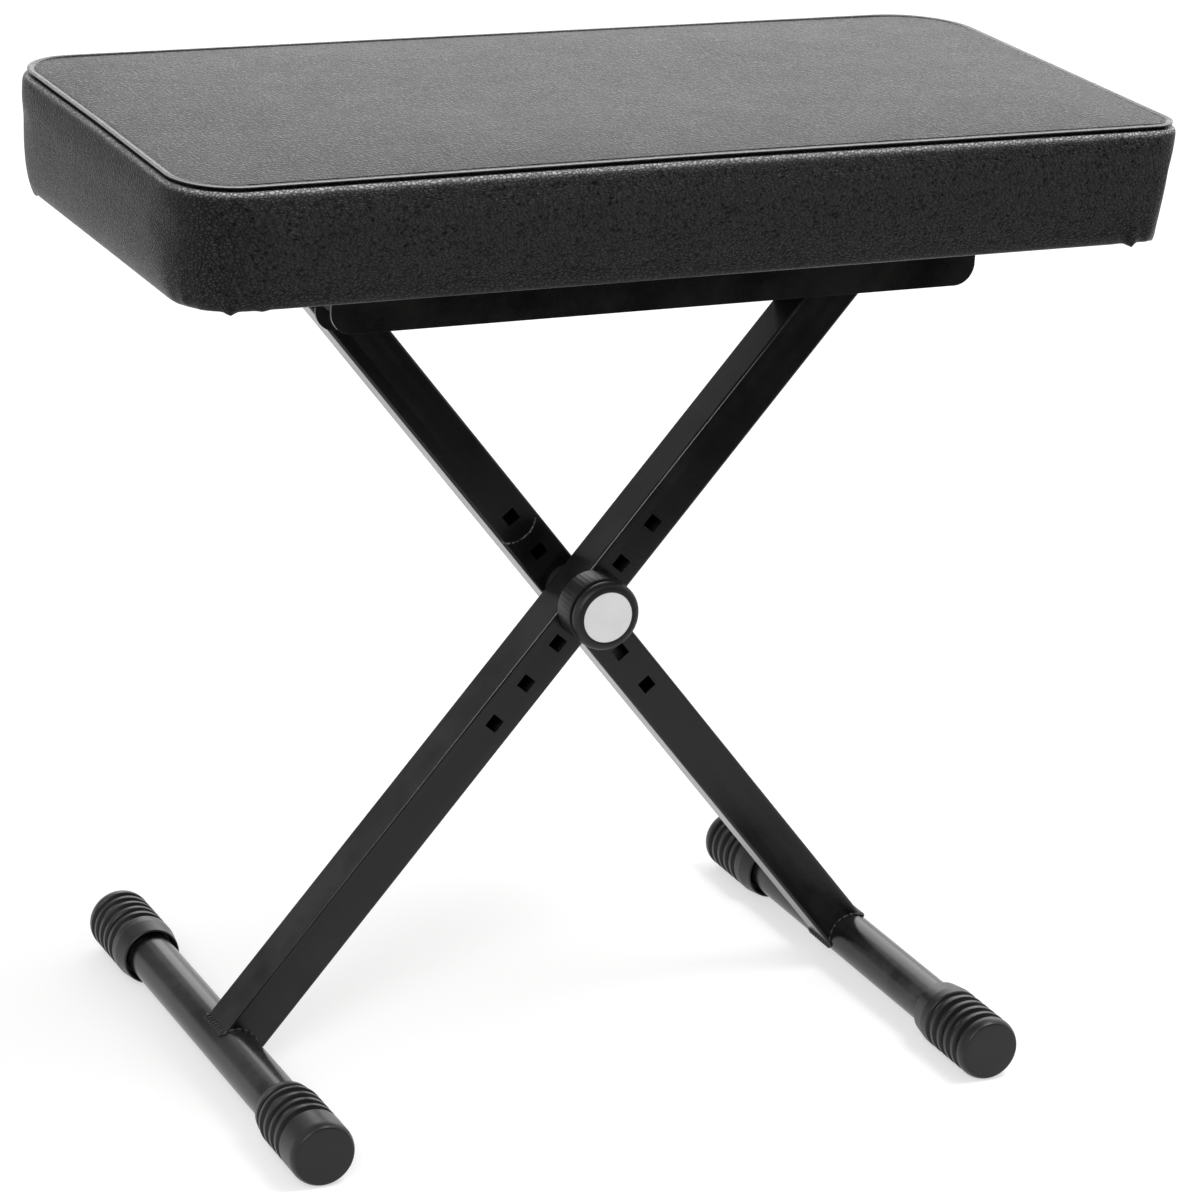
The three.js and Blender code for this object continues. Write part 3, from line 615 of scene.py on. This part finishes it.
def swept_round(name, inset, z, section, lightening):
    """A closed loop round the plan with a section of (outward, up) points, some of them given a
    painted highlight by a share for each number."""
    points = outline(inset)
    count = len(section)
    vertices = []
    for point, way in points:
        for out, up in section:
            corner = Vector((point.x + way.x * out, point.y + way.y * out, z + up))
            vertices.append(corner + SEAT_MIDDLE)
    faces = []
    for i in range(len(points)):
        here = i * count
        there = (i + 1) % len(points) * count
        for k in range(count):
            m = (k + 1) % count
            faces.append((here + k, there + k, there + m, here + m))
    piece = add_piece(name, vertices, faces)
    # Each section point's share of the painted highlight.
    painted_highlight = piece.data.attributes.new("painted_highlight", "FLOAT", "POINT")
    for index in range(len(vertices)):
        painted_highlight.data[index].value = lightening.get(index % count, 0.0)
    return piece


welt_turns = [math.radians(angle) for angle in range(-110, 91, 20)]
welt_section = [(WELT_RADIUS * math.cos(turn), WELT_RADIUS * math.sin(turn)) for turn in welt_turns]
welt_section += [(out * MM, up * MM) for out, up in WELT_TAIL]
piping = swept_round("seat_piping", WELT_INSET, WELT_HEIGHT, welt_section, WELT_CREST_HIGHLIGHT)
flange_section = [(out * MM, up * MM) for out, up in FLANGE]
piping_flange = swept_round("seat_piping_flange", FLANGE_INSET, FLANGE_HEIGHT, flange_section, {})
piping_finish = leatherette("black_leatherette_piping", tone=0.012, grain=0.2, roughness=0.22)
for piece in (piping, piping_flange):
    lean(piece)
    piece.data.materials.append(piping_finish)
    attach(piece, "seat")
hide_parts("cover_piping")


# Foam
# One block of grey upholstery foam, glued to the board and cut to the cushion's crown and its
# drawn-in sides.
FOAM_INSET = 8.0 * MM
FOAM_EDGE = 577.9 * MM
FOAM_CROWN = 3.4 * MM
FOAM_UNDER = 1.6 * MM
FOAM_CEILING = 575.5
FOAM_FLOOR = 522
FOAM_SEAM = 577
FOAM_FOOT = (7.0 * MM, 521.4 * MM)
foam_profile = [(inset * MM + FOAM_UNDER, min(z, FOAM_CEILING) * MM)
                for inset, z in BAND if FOAM_FLOOR < z < FOAM_SEAM]
foam_profile.append(FOAM_FOOT)
foam, _, _ = seat_skin(
    "seat_foam_block", FOAM_INSET, FOAM_EDGE, FOAM_CROWN, foam_profile, closed=True)
lean(foam)
foam_finish = Finish("grey_foam")
foam_place = foam_finish.place()
foam_pores = foam_finish.node("ShaderNodeTexVoronoi", None, {"Vector": foam_place, "Scale": 900.0})
foam_tone = foam_finish.noise(foam_place, 40.0, 3.0)
foam.data.materials.append(foam_finish.surface(
    Base_Color=foam_finish.shade(foam_tone, (0.12, 0.115, 0.105), (0.18, 0.17, 0.155)),
    Roughness=0.95, Normal=foam_finish.bump(foam_pores, 0.5, 0.0006)))
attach(foam, "seat")
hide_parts("seat_foam")


# Board
# Raw plywood that the cushion is built on and that the rail is screwed to, cut to the outline
# of the cover, which is folded over its edge. From below it shows its grain.
BOARD_INSET = 6.9 * MM
BOARD_LOWER_EDGE = [(0.0, 4.3), (0.6, 2.3), (1.4, 1.1), (3.2, 0.4), (6.0, 0.0)]
board_finish = Finish("raw_plywood")
board_place = board_finish.place()
board_stretch = board_finish.node("ShaderNodeMapping", {"vector_type": "POINT"}, {
    "Vector": board_place, "Scale": (6.0, 60.0, 60.0)})
board_waves = board_finish.node("ShaderNodeTexNoise", None, {
    "Vector": board_stretch, "Scale": 3.0, "Detail": 6.0, "Roughness": 0.6, "Distortion": 0.4})
board_fibres = board_finish.node("ShaderNodeTexNoise", None, {
    "Vector": board_stretch, "Scale": 26.0, "Detail": 2.0})
board_grain = board_waves * 0.7 + board_fibres * 0.3
board_tone = board_finish.shade(
    board_grain.above(0.5, 0.5), (0.24, 0.145, 0.065), (0.46, 0.32, 0.17))
plywood = board_finish.surface(
    Base_Color=board_tone, Roughness=board_waves * 0.2 + 0.6,
    Normal=board_finish.bump(board_fibres, 0.3, 0.0004))
board_heights = [corner[2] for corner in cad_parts["seat_board"].bound_box]
board_low = min(board_heights)
board_high = max(board_heights)
board_profile = [(BOARD_INSET + 0.4 * MM, board_high - 0.1 * MM),
                 (BOARD_INSET, board_high - 0.6 * MM)]
board_profile += [(BOARD_INSET + more * MM, board_low + up * MM) for more, up in BOARD_LOWER_EDGE]
board, _, _ = seat_skin(
    "seat_plywood", BOARD_INSET + 0.8 * MM, board_high, 0.0, board_profile, closed=True)
board.data.materials.append(plywood)
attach(board, "seat")
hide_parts("seat_board")


# Staples
# Wire staples that hold the folded-in cover to the underside of the board, one every few
# centimetres along a line half way across the fold, most of them a little askew.
STAPLE_CROWN = 10.0 * MM
STAPLE_WIRE = 1.1 * MM
STAPLE_STEP = 27.0 * MM
STAPLE_INSET = 20.0 * MM
STAPLE_CORNERS = 16


def staple_loop():
    """The staples as one mesh, each a flat wire with its legs in the board."""
    points = outline(STAPLE_INSET, 2 * MM)
    vertices = []
    faces = []
    travelled = 0.0
    number = 0
    for (here, way), (there, _) in zip(points, points[1:]):
        travelled += (there - here).length
        if travelled < STAPLE_STEP * (0.9 + 0.2 * ((number * 7) % 5) / 5):
            continue
        travelled = 0.0
        number += 1
        askew = math.radians(((number * 37) % 23) - 11)
        along = Matrix.Rotation(askew, 2) @ Vector((-way.y, way.x))
        across = Vector((along.y, -along.x))
        middle = Vector((here.x, here.y, SEAT_BOTTOM - 0.1 * MM)) + SEAT_MIDDLE
        for share, drop in ((-1.0, 0.0), (-0.8, 1.0), (0.8, 1.0), (1.0, 0.0)):
            centre = middle + Vector((along.x, along.y, 0)) * share * STAPLE_CROWN / 2
            centre.z += (0.6 - drop * 0.5) * MM
            for out, up in ((-0.5, 0.25), (0.5, 0.25), (0.35, -0.25), (-0.35, -0.25)):
                vertices.append(centre + Vector((across.x, across.y, 0)) * out * STAPLE_WIRE
                                + Vector((0, 0, up * STAPLE_WIRE)))
        first = len(vertices) - STAPLE_CORNERS
        for ring in range(3):
            for k in range(4):
                m = (k + 1) % 4
                low = first + ring * 4
                faces.append((low + k, low + m, low + 4 + m, low + 4 + k))
    return add_piece("cover_staples", vertices, faces)


def metal(name, tone, roughness, warmth=(1.0, 1.0, 1.0)):
    """Bare or plated metal with fine drawing marks and a few duller patches."""
    finish = Finish(name)
    place = finish.place()
    patches = finish.noise(place, 90.0, 3.0)
    marks = finish.noise(place, 900.0, 3.0, 0.7)
    dark = tuple(tone * 0.8 * w for w in warmth)
    light = tuple(min(tone * 1.1 * w, 1.0) for w in warmth)
    return finish.surface(
        Base_Color=finish.shade(patches, dark, light), Metallic=1.0,
        Roughness=patches * 0.16 + (roughness - 0.08), Normal=finish.bump(marks, 0.12, 0.0003))


zinc = metal("zinc_plate", 0.56, 0.34)
staples = staple_loop()
staples.data.materials.append(zinc)
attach(staples, "seat")


# Rail
# A channel pressed from 2 mm sheet, open below, its lower corners rounded, with a slot in each
# flange for the slide pin. Black powder coat over cut edges that a file has broken.
COAT_TONE = 0.003
COAT_ROUGHNESS = 0.23
COAT_SPECULAR = 0.28
CUT_EDGE = 0.35 * MM
SAME_POINT = 0.004 * MM
FLAT_ANGLE = math.radians(1.0)
EDGE_ANGLE = math.radians(32.0)


def softened(node, name, edge):
    """A new piece with the node's shape, its cut edges broken by a small round."""
    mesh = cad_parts[node].data.copy()
    mesh.name = name
    mesh.materials.clear()
    work = bmesh.new()
    work.from_mesh(mesh)
    bmesh.ops.remove_doubles(work, verts=work.verts, dist=SAME_POINT)
    bmesh.ops.dissolve_limit(work, angle_limit=FLAT_ANGLE, verts=work.verts, edges=work.edges)
    work.to_mesh(mesh)
    work.free()
    piece = bpy.data.objects.new(name, mesh)
    bpy.context.scene.collection.objects.link(piece)
    mesh.shade_smooth()
    rounding = piece.modifiers.new("broken_edges", "BEVEL")
    rounding.width = edge
    rounding.segments = 2
    rounding.limit_method = "ANGLE"
    rounding.angle_limit = EDGE_ANGLE
    flatness = piece.modifiers.new("flat_faces", "WEIGHTED_NORMAL")
    flatness.weight = 100
    flatness.keep_sharp = False
    finish_mesh(piece)
    return piece


def powder_coat(name):
    """Black powder coat: a faint orange peel, a little dust, and convex edges painted lighter in
    patches, partly as wear and partly as a painted highlight. Gives the finish with its place,
    tone, roughness and normal, for a surface to be made of."""
    finish = Finish(name)
    place = finish.place()
    peel = finish.noise(place, 700.0, 2.0)
    dust = finish.noise(place, 22.0, 4.0, 0.65)
    # Partly edge wear, partly a painted highlight: convex edges, found by pointiness, are painted
    # lighter where the dust noise is high.
    edge_convexity = finish.node("ShaderNodeNewGeometry", out=7)
    lightening = edge_convexity.above(0.56, 0.06) * dust.above(0.45, 0.3)
    base = finish.shade(dust, (COAT_TONE * 0.8,) * 3, (COAT_TONE * 1.3,) * 3)
    colour = finish.shade(lightening * 0.5, (COAT_TONE,) * 3, (0.09, 0.09, 0.09))
    mixed = finish.node("ShaderNodeMix", {"data_type": "RGBA", "blend_type": "LIGHTEN"}, {
        0: 1.0, 6: base, 7: colour}, out=2)
    roughness = dust * 0.12 + (COAT_ROUGHNESS - 0.06)
    return finish, place, mixed, roughness, finish.bump(peel, 0.10, 0.0004)


coat, _, coat_tone, coat_roughness, coat_normal = powder_coat("frame_coat")
frame_coat = coat.surface(
    Base_Color=coat_tone, Roughness=coat_roughness, Specular_IOR_Level=COAT_SPECULAR,
    Normal=coat_normal)
rail = softened("seat_rail", "rail_channel", CUT_EDGE)
rail.data.materials.append(frame_coat)
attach(rail, "seat")
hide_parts("seat_rail")


# Rail screws
# Four zinc-plated pan-head screws, driven up through the rail into the board. They are seen
# only from below.
for number in (1, 2, 3, 4):
    screw = softened(f"rail_screw_{number}", f"rail_pan_screw_{number}", 0.25 * MM)
    screw.data.materials.append(zinc)
    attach(screw, "seat")
    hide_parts(f"rail_screw_{number}")


# Hinge of leg B
# A black plated bolt through both flanges of the rail and the top of leg B, which turns on it,
# with a washer and a nut behind.
black_plate = metal("black_plate", 0.05, 0.42)
HINGE_PARTS = (("pivot_bolt", "hinge_bolt"), ("pivot_washer", "hinge_washer"),
               ("pivot_nut", "hinge_nut"))
for node, name in HINGE_PARTS:
    piece = softened(node, name, 0.3 * MM)
    piece.data.materials.append(black_plate)
    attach(piece, "seat")
    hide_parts(node)


# Leg B
# Square steel tube with six square holes, powder coated. Where the legs were once bolted
# together two holes higher, the friction disc has rubbed a ring into the paint.
CROSS = Vector((2.0, 0.0, 276.5)) * MM
RISE_A = Vector((math.cos(math.radians(50.0)), 0.0, math.sin(math.radians(50.0))))
RISE_B = Vector((-math.cos(math.radians(50.6)), 0.0, math.sin(math.radians(50.6))))
HOLE_PITCH = 30.0 * MM
HOLES_UP_TO_RUB = 2
RUB_RADIUS = 16.0 * MM
RUB_WIDTH = 0.8 * MM
SPECKS_INSIDE = 22.0 * MM
SPECKS_FADE = 30.0 * MM
SCUFFED_GREY = (0.20, 0.20, 0.20, 1)

coat_b, place_b, tone_b, roughness_b, normal_b = powder_coat("leg_b_coat")
x_b, y_b, z_b = coat_b.axes(place_b)
ring_middle = CROSS + RISE_B * HOLE_PITCH * HOLES_UP_TO_RUB
dx = x_b - ring_middle.x
dz = z_b - ring_middle.z
reach_b = (dx * dx + dz * dz) ** 0.5
ring_wobble = (coat_b.noise(place_b, 160.0, 3.0) - 0.5) * 1.2 * MM
ring_mask = 1 - ((reach_b - RUB_RADIUS + ring_wobble).absolute() / RUB_WIDTH).clamped()
lower_half = (0.0 - dz + dx * 0.4).above(4.0 * MM, 8.0 * MM)
front_only = 1 - y_b.above(3.0 * MM, 0.4 * MM)
scuff_grit = coat_b.noise(place_b, 420.0, 4.0, 0.75).above(0.52, 0.12)
speck_field = coat_b.noise(place_b, 210.0, 5.0, 0.8).above(0.70, 0.05)
near_cross = 1 - ((reach_b - SPECKS_INSIDE) / SPECKS_FADE).clamped()
scuffs = (ring_mask * lower_half * scuff_grit * 0.8 + speck_field * near_cross * 0.5) * front_only
leg_b_tone = coat_b.node("ShaderNodeMix", {"data_type": "RGBA"}, {
    0: scuffs.clamped(), 6: tone_b, 7: SCUFFED_GREY}, out=2)
leg_b_finish = coat_b.surface(
    Base_Color=leg_b_tone, Roughness=roughness_b + scuffs * 0.15, Specular_IOR_Level=COAT_SPECULAR,
    Normal=normal_b)
leg_b = softened("leg_b_tube", "leg_b_square_tube", CUT_EDGE)
leg_b.data.materials.append(leg_b_finish)
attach(leg_b, "leg_b")
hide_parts("leg_b_tube")


# Leg A
# The same powder-coated tube, in front of leg B and welded to its own floor tube. Its top end
# runs inside the rail and is closed by a push-in plastic plug.
leg_a = softened("leg_a_tube", "leg_a_square_tube", CUT_EDGE)
leg_a.data.materials.append(frame_coat)
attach(leg_a, "leg_a")
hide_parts("leg_a_tube")


def moulded(name, tone=0.008, roughness=0.5, grain=1.0):
    """Injection moulded plastic: fine spark-eroded texture and a faint drift in its sheen."""
    finish = Finish(name)
    place = finish.place()
    fine = finish.noise(place, 1500.0, 2.0, 0.6)
    drift = finish.noise(place, 30.0, 3.0)
    return finish.surface(
        Base_Color=finish.shade(drift, (tone * 0.85,) * 3, (tone * 1.15,) * 3),
        Roughness=drift * 0.14 + (roughness - 0.07), Specular_IOR_Level=0.35,
        Normal=finish.bump(fine, 0.16 * grain, 0.0003))


black_moulding = moulded("black_moulding")
plug = softened("leg_a_end_plug", "leg_a_top_plug", 0.5 * MM)
plug.data.materials.append(black_moulding)
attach(plug, "leg_a")
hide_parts("leg_a_end_plug")


# Bushes
# Black nylon bushes pressed into the hinge holes of leg B and the pin holes of leg A, so that
# steel doesn't rub on steel.
nylon_moulding = moulded("black_nylon", tone=0.012, roughness=0.58)
for leg, side in (("a", "front"), ("a", "rear"), ("b", "front"), ("b", "rear")):
    bush = softened(f"leg_{leg}_bush_{side}", f"nylon_bush_{leg}_{side}", 0.25 * MM)
    bush.data.materials.append(nylon_moulding)
    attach(bush, f"leg_{leg}")
    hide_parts(f"leg_{leg}_bush_{side}")


# Slide pin
# A zinc-plated headed pin through the top of leg A, which runs in the rail's two slots. A black
# clip pushed over its end holds it.
slide_pin = softened("slide_pin", "slide_pin_headed", 0.3 * MM)
slide_pin.data.materials.append(zinc)
pin_clip = softened("slide_pin_clip", "slide_pin_push_clip", 0.2 * MM)
pin_clip.data.materials.append(black_plate)
for piece, node in ((slide_pin, "slide_pin"), (pin_clip, "slide_pin_clip")):
    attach(piece, "leg_a")
    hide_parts(node)


# Floor tubes
# Round steel tubes welded across the feet of the legs, one to each, with the same powder coat.
# They stand on their caps, clear of the floor.
FLOOR_AXIS_Z = 19.333 * MM
FLOOR_A_X = CROSS.x - (CROSS.z - FLOOR_AXIS_Z) / RISE_A.z * RISE_A.x
FLOOR_B_X = CROSS.x - (CROSS.z - FLOOR_AXIS_Z) / RISE_B.z * RISE_B.x
FLOOR_TUBE_RADIUS = 14.3 * MM
FLOOR_TUBE_BORE = 12.8 * MM
FLOOR_TUBE_HALF = 170.7 * MM
FLOOR_STAGGER = 1.75 * MM


def lathed(name, profile, middle, segments=96, floor_flat=False, sharp=40.0):
    """A turned piece along Y from (radius, y) pairs. Its lowest line may rest flat on the floor."""
    vertices = []
    rings = []
    for radius, y in profile:
        if radius < 1e-7:
            rings.append([len(vertices)])
            vertices.append(Vector((middle.x, middle.y + y, middle.z)))
            continue
        rings.append(list(range(len(vertices), len(vertices) + segments)))
        for i in range(segments):
            angle = 2 * math.pi * i / segments
            z = middle.z + radius * math.sin(angle)
            vertices.append(Vector((middle.x + radius * math.cos(angle), middle.y + y,
                                    max(z, 0.0) if floor_flat else z)))
    faces = []
    for low, high in zip(rings, rings[1:]):
        for i in range(segments):
            k = (i + 1) % segments
            corners = [low[i % len(low)], low[k % len(low)],
                       high[k % len(high)], high[i % len(high)]]
            face = tuple(dict.fromkeys(corners))
            if len(face) > 2:
                faces.append(face)
    piece = add_piece(name, vertices, faces)
    piece.data.set_sharp_from_angle(angle=math.radians(sharp))
    return piece


floor_middles = {"a": Vector((FLOOR_A_X, FLOOR_STAGGER, FLOOR_AXIS_Z)),
                 "b": Vector((FLOOR_B_X, -FLOOR_STAGGER, FLOOR_AXIS_Z))}
floor_tube_profile = [
    (FLOOR_TUBE_BORE, -FLOOR_TUBE_HALF), (FLOOR_TUBE_RADIUS, -FLOOR_TUBE_HALF),
    (FLOOR_TUBE_RADIUS, 0.0), (FLOOR_TUBE_RADIUS, FLOOR_TUBE_HALF),
    (FLOOR_TUBE_BORE, FLOOR_TUBE_HALF), (FLOOR_TUBE_BORE, -FLOOR_TUBE_HALF)]
for leg, middle in floor_middles.items():
    floor_tube = lathed(f"floor_tube_{leg}_round", floor_tube_profile, middle)
    floor_tube.data.materials.append(frame_coat)
    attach(floor_tube, f"leg_{leg}")
    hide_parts(f"floor_tube_{leg}")


# Weld beads
# A hand-run weld round the coped foot of each leg, where it sits on its floor tube, with its
# drops still showing under the powder coat.
LEG_HALF = 14.0 * MM
LEG_A_Y = -16.35 * MM
LEG_B_Y = 16.35 * MM
BEAD_RADIUS = 1.9 * MM
BEAD_LIFT = 0.5 * MM
BEAD_FLATNESS = 0.8
BEAD_CORNER = 0.97
BEAD_DROP_LENGTH = 7.4
BEAD_DROP_DEPTH = 0.12
BEAD_UNEVENNESS = 0.22
BEAD_STEPS = 16
BEAD_FINE = 4
BEAD_SECTIONS = 10


def weld_bead(name, foot, rise, middle_y):
    """Overlapping drops along the curve in which the square tube meets the round one."""
    turn = math.atan2(rise.z, rise.x)
    path = []
    around = math.asin(LEG_HALF / FLOOR_TUBE_RADIUS * BEAD_CORNER)
    for i in range(BEAD_STEPS + 1):
        path.append((turn - around + 2 * around * i / BEAD_STEPS, middle_y - LEG_HALF))
    for i in range(1, BEAD_STEPS + 1):
        path.append((turn + around, middle_y - LEG_HALF + 2 * LEG_HALF * i / BEAD_STEPS))
    for i in range(1, BEAD_STEPS + 1):
        path.append((turn + around - 2 * around * i / BEAD_STEPS, middle_y + LEG_HALF))
    for i in range(1, BEAD_STEPS):
        path.append((turn - around, middle_y + LEG_HALF - 2 * LEG_HALF * i / BEAD_STEPS))
    reach = FLOOR_TUBE_RADIUS + BEAD_LIFT
    centres = [Vector((foot.x + reach * math.cos(angle), y, foot.z + reach * math.sin(angle)))
               for angle, y in path]
    vertices = []
    count = len(centres)
    total = count * BEAD_FINE
    for i in range(total):
        start = centres[i // BEAD_FINE]
        there = centres[(i // BEAD_FINE + 1) % count]
        here = start.lerp(there, (i % BEAD_FINE) / BEAD_FINE)
        along = (there - start).normalized()
        out = (here - Vector((foot.x, here.y, foot.z))).normalized()
        across = along.cross(out).normalized()
        out = across.cross(along).normalized()
        drop = (1 + BEAD_DROP_DEPTH * math.sin(i * 2 * math.pi / BEAD_DROP_LENGTH)
                + BEAD_UNEVENNESS * math.sin(i * 0.83 + 1.0))
        if abs(here.y - middle_y) > LEG_HALF * BEAD_CORNER:
            drop *= 0.5
        for k in range(BEAD_SECTIONS):
            angle = 2 * math.pi * k / BEAD_SECTIONS
            spoke = across * math.cos(angle) + out * math.sin(angle) * BEAD_FLATNESS
            vertices.append(here + spoke * BEAD_RADIUS * drop)
    faces = []
    for i in range(total):
        low = i * BEAD_SECTIONS
        high = (i + 1) % total * BEAD_SECTIONS
        for k in range(BEAD_SECTIONS):
            m = (k + 1) % BEAD_SECTIONS
            faces.append((low + k, high + k, high + m, low + m))
    return add_piece(name, vertices, faces)


for leg, rise, middle_y in (("a", RISE_A, LEG_A_Y), ("b", RISE_B, LEG_B_Y)):
    bead = weld_bead(f"weld_bead_{leg}", floor_middles[leg], rise, middle_y)
    bead.data.materials.append(frame_coat)
    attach(bead, f"leg_{leg}")


# Floor caps
# Soft black plastic caps pushed over the ends of the floor tubes. Each flares from an open
# collar to its full size, has five rounded grooves, and ends in a flat face.
CAP_RADIUS = 19.5 * MM
CAP_LENGTH = 64.0 * MM
CAP_MOUTH = 17.6 * MM
CAP_GROOVE_DEPTH = 2.6 * MM
CAP_GROOVE_PITCH = 8.2 * MM
CAP_GROOVE_COUNT = 5
CAP_GROOVE_HALF = 1.25 * MM
CAP_COLLAR = 12.0 * MM
CAP_END_ROUNDING = 6.0 * MM
CAP_END_DROP = 1.9 * MM
CAP_SKIN_START = 0.6 * MM
CAP_HALF_SPAN = 175.0 * MM
CAP_LIP = [
    (14.4, 10.0), (15.9, 10.0), (16.2, 9.4), (16.2, 0.7), (16.5, 0.15), (16.9, 0.0), (17.3, 0.15)]
CAP_FACE = [(17.3, 63.95), (16.9, 64.0), (10.0, 63.9), (0.0, 63.9)]
CAP_STEPS = 150
NOTCH_HALF = 2.75
NOTCH_SLOPE = 1.4


def cap_profile(first_groove):
    """(radius, depth) pairs from inside the mouth, out over the ribs, to the end face."""
    def outside(depth):
        if depth < CAP_COLLAR:
            wide = CAP_MOUTH + (CAP_RADIUS - CAP_MOUTH) * depth / CAP_COLLAR
        else:
            wide = CAP_RADIUS
        from_end = CAP_LENGTH - depth
        if from_end < CAP_END_ROUNDING:
            wide -= CAP_END_DROP * (1 - from_end / CAP_END_ROUNDING) ** 2.2
        for i in range(CAP_GROOVE_COUNT):
            middle = first_groove + i * CAP_GROOVE_PITCH + CAP_GROOVE_HALF
            away = abs(depth - middle) / MM
            notch = min(max((NOTCH_HALF - away) / NOTCH_SLOPE, 0.0), 1.0)
            wide -= CAP_GROOVE_DEPTH * notch * notch * (3 - 2 * notch)
        return wide

    skin_length = CAP_LENGTH - CAP_SKIN_START
    depths = [CAP_SKIN_START + skin_length * i / CAP_STEPS for i in range(CAP_STEPS)]
    lip = [(radius * MM, depth * MM) for radius, depth in CAP_LIP]
    face = [(radius * MM, depth * MM) for radius, depth in CAP_FACE]
    return lip + [(outside(depth), depth) for depth in depths] + face


FLOOR_CAPS = (("a", "front", 6), ("a", "rear", 20), ("b", "front", 20), ("b", "rear", 20))
cap_moulding = moulded("cap_moulding", tone=0.007, roughness=0.36, grain=1.2)
for leg, end, first_groove in FLOOR_CAPS:
    way = -1 if end == "front" else 1
    middle = floor_middles[leg].copy()
    middle.y += way * (CAP_HALF_SPAN - CAP_LENGTH)
    profile = [(radius, way * depth) for radius, depth in cap_profile(first_groove * MM)]
    cap = lathed(f"floor_cap_{leg}_{end}_ribbed", profile, middle, floor_flat=True)
    cap.data.materials.append(cap_moulding)
    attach(cap, f"leg_{leg}")
    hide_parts(f"floor_cap_{leg}_{end}")


# Clamp bolt and friction disc
# A black carriage bolt through both legs, its round head behind leg B, and between the legs a
# nylon disc that rubs on both as they fold.
cross_bolt = softened("cross_bolt", "clamp_bolt", 0.3 * MM)
cross_bolt.data.materials.append(black_plate)
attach(cross_bolt, "leg_b")
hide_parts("cross_bolt")
disc = softened("friction_disc", "friction_disc_nylon", 0.3 * MM)
disc.data.materials.append(nylon_moulding)
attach(disc, "leg_b")
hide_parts("friction_disc")


# Hand knob
# A moulded drum on the clamp bolt with a steel washer behind it and a brass insert, fine ribs
# along the drum, a groove behind the rim, and a plain light grey disc let into its face.
knob_washer = softened("knob_washer", "knob_steel_washer", 0.3 * MM)
knob_washer.data.materials.append(zinc)
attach(knob_washer, "knob_washer")
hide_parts("knob_washer")

KNOB_PROFILE = [
    (0.0, -55.05), (15.5, -55.05), (15.55, -56.35), (15.75, -56.6), (16.1, -56.65), (17.2, -56.65),
    (18.4, -56.4), (19.4, -55.85), (20.2, -55.0), (20.75, -53.9), (21.0, -52.7), (21.0, -51.6),
    (20.8, -51.0), (20.2, -50.65), (18.9, -50.65), (18.9, -48.25), (20.6, -48.25), (21.2, -48.0),
    (21.5, -47.4), (21.5, -40.0), (21.5, -32.6), (21.1, -31.4), (20.2, -30.75), (19.6, -30.65),
    (11.4, -30.65), (11.3, -32.4), (6.6, -32.5), (6.55, -46.4), (0.0, -46.4)]
KNOB_DISC_PROFILE = [
    (0.0, -55.12), (15.3, -55.12), (15.45, -55.3), (15.45, -56.0), (15.3, -56.2), (15.0, -56.25),
    (0.0, -56.25)]
KNOB_SEGMENTS = 144
KNOB_RIBS = 48
RIB_DEPTH = 0.006
RIB_FROM = -48.0 * MM
RIB_TO = -31.5 * MM
RIB_LEAST_RADIUS = 21.3 * MM


def knob_drum():
    """The drum with its fine ribs, as shallow waves round its side."""
    profile = [(radius * MM, y * MM) for radius, y in KNOB_PROFILE]
    drum = lathed("knob_drum", profile, CROSS, KNOB_SEGMENTS, sharp=35.0)
    for vertex in drum.data.vertices:
        x = vertex.co.x - CROSS.x
        z = vertex.co.z - CROSS.z
        if math.hypot(x, z) < RIB_LEAST_RADIUS or not RIB_FROM < vertex.co.y < RIB_TO:
            continue
        lift = 1 + RIB_DEPTH * (math.cos(math.atan2(z, x) * KNOB_RIBS) - 1)
        vertex.co.x = CROSS.x + x * lift
        vertex.co.z = CROSS.z + z * lift
    return drum


drum = knob_drum()
drum.data.materials.append(moulded("knob_moulding", tone=0.007, roughness=0.46, grain=1.4))
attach(drum, "knob")
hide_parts("knob_body")

insert = softened("knob_insert", "knob_brass_insert", 0.25 * MM)
insert.data.materials.append(metal("turned_brass", 0.62, 0.32, warmth=(1.0, 0.72, 0.32)))
knob_disc_profile = [(radius * MM, y * MM) for radius, y in KNOB_DISC_PROFILE]
knob_disc = lathed("knob_grey_disc", knob_disc_profile, CROSS)
knob_disc.data.materials.append(moulded("light_grey_moulding", tone=0.76, roughness=0.5, grain=0.6))
for piece, node in ((insert, "knob_insert"), (knob_disc, "knob_disc")):
    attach(piece, "knob")
    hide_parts(node)
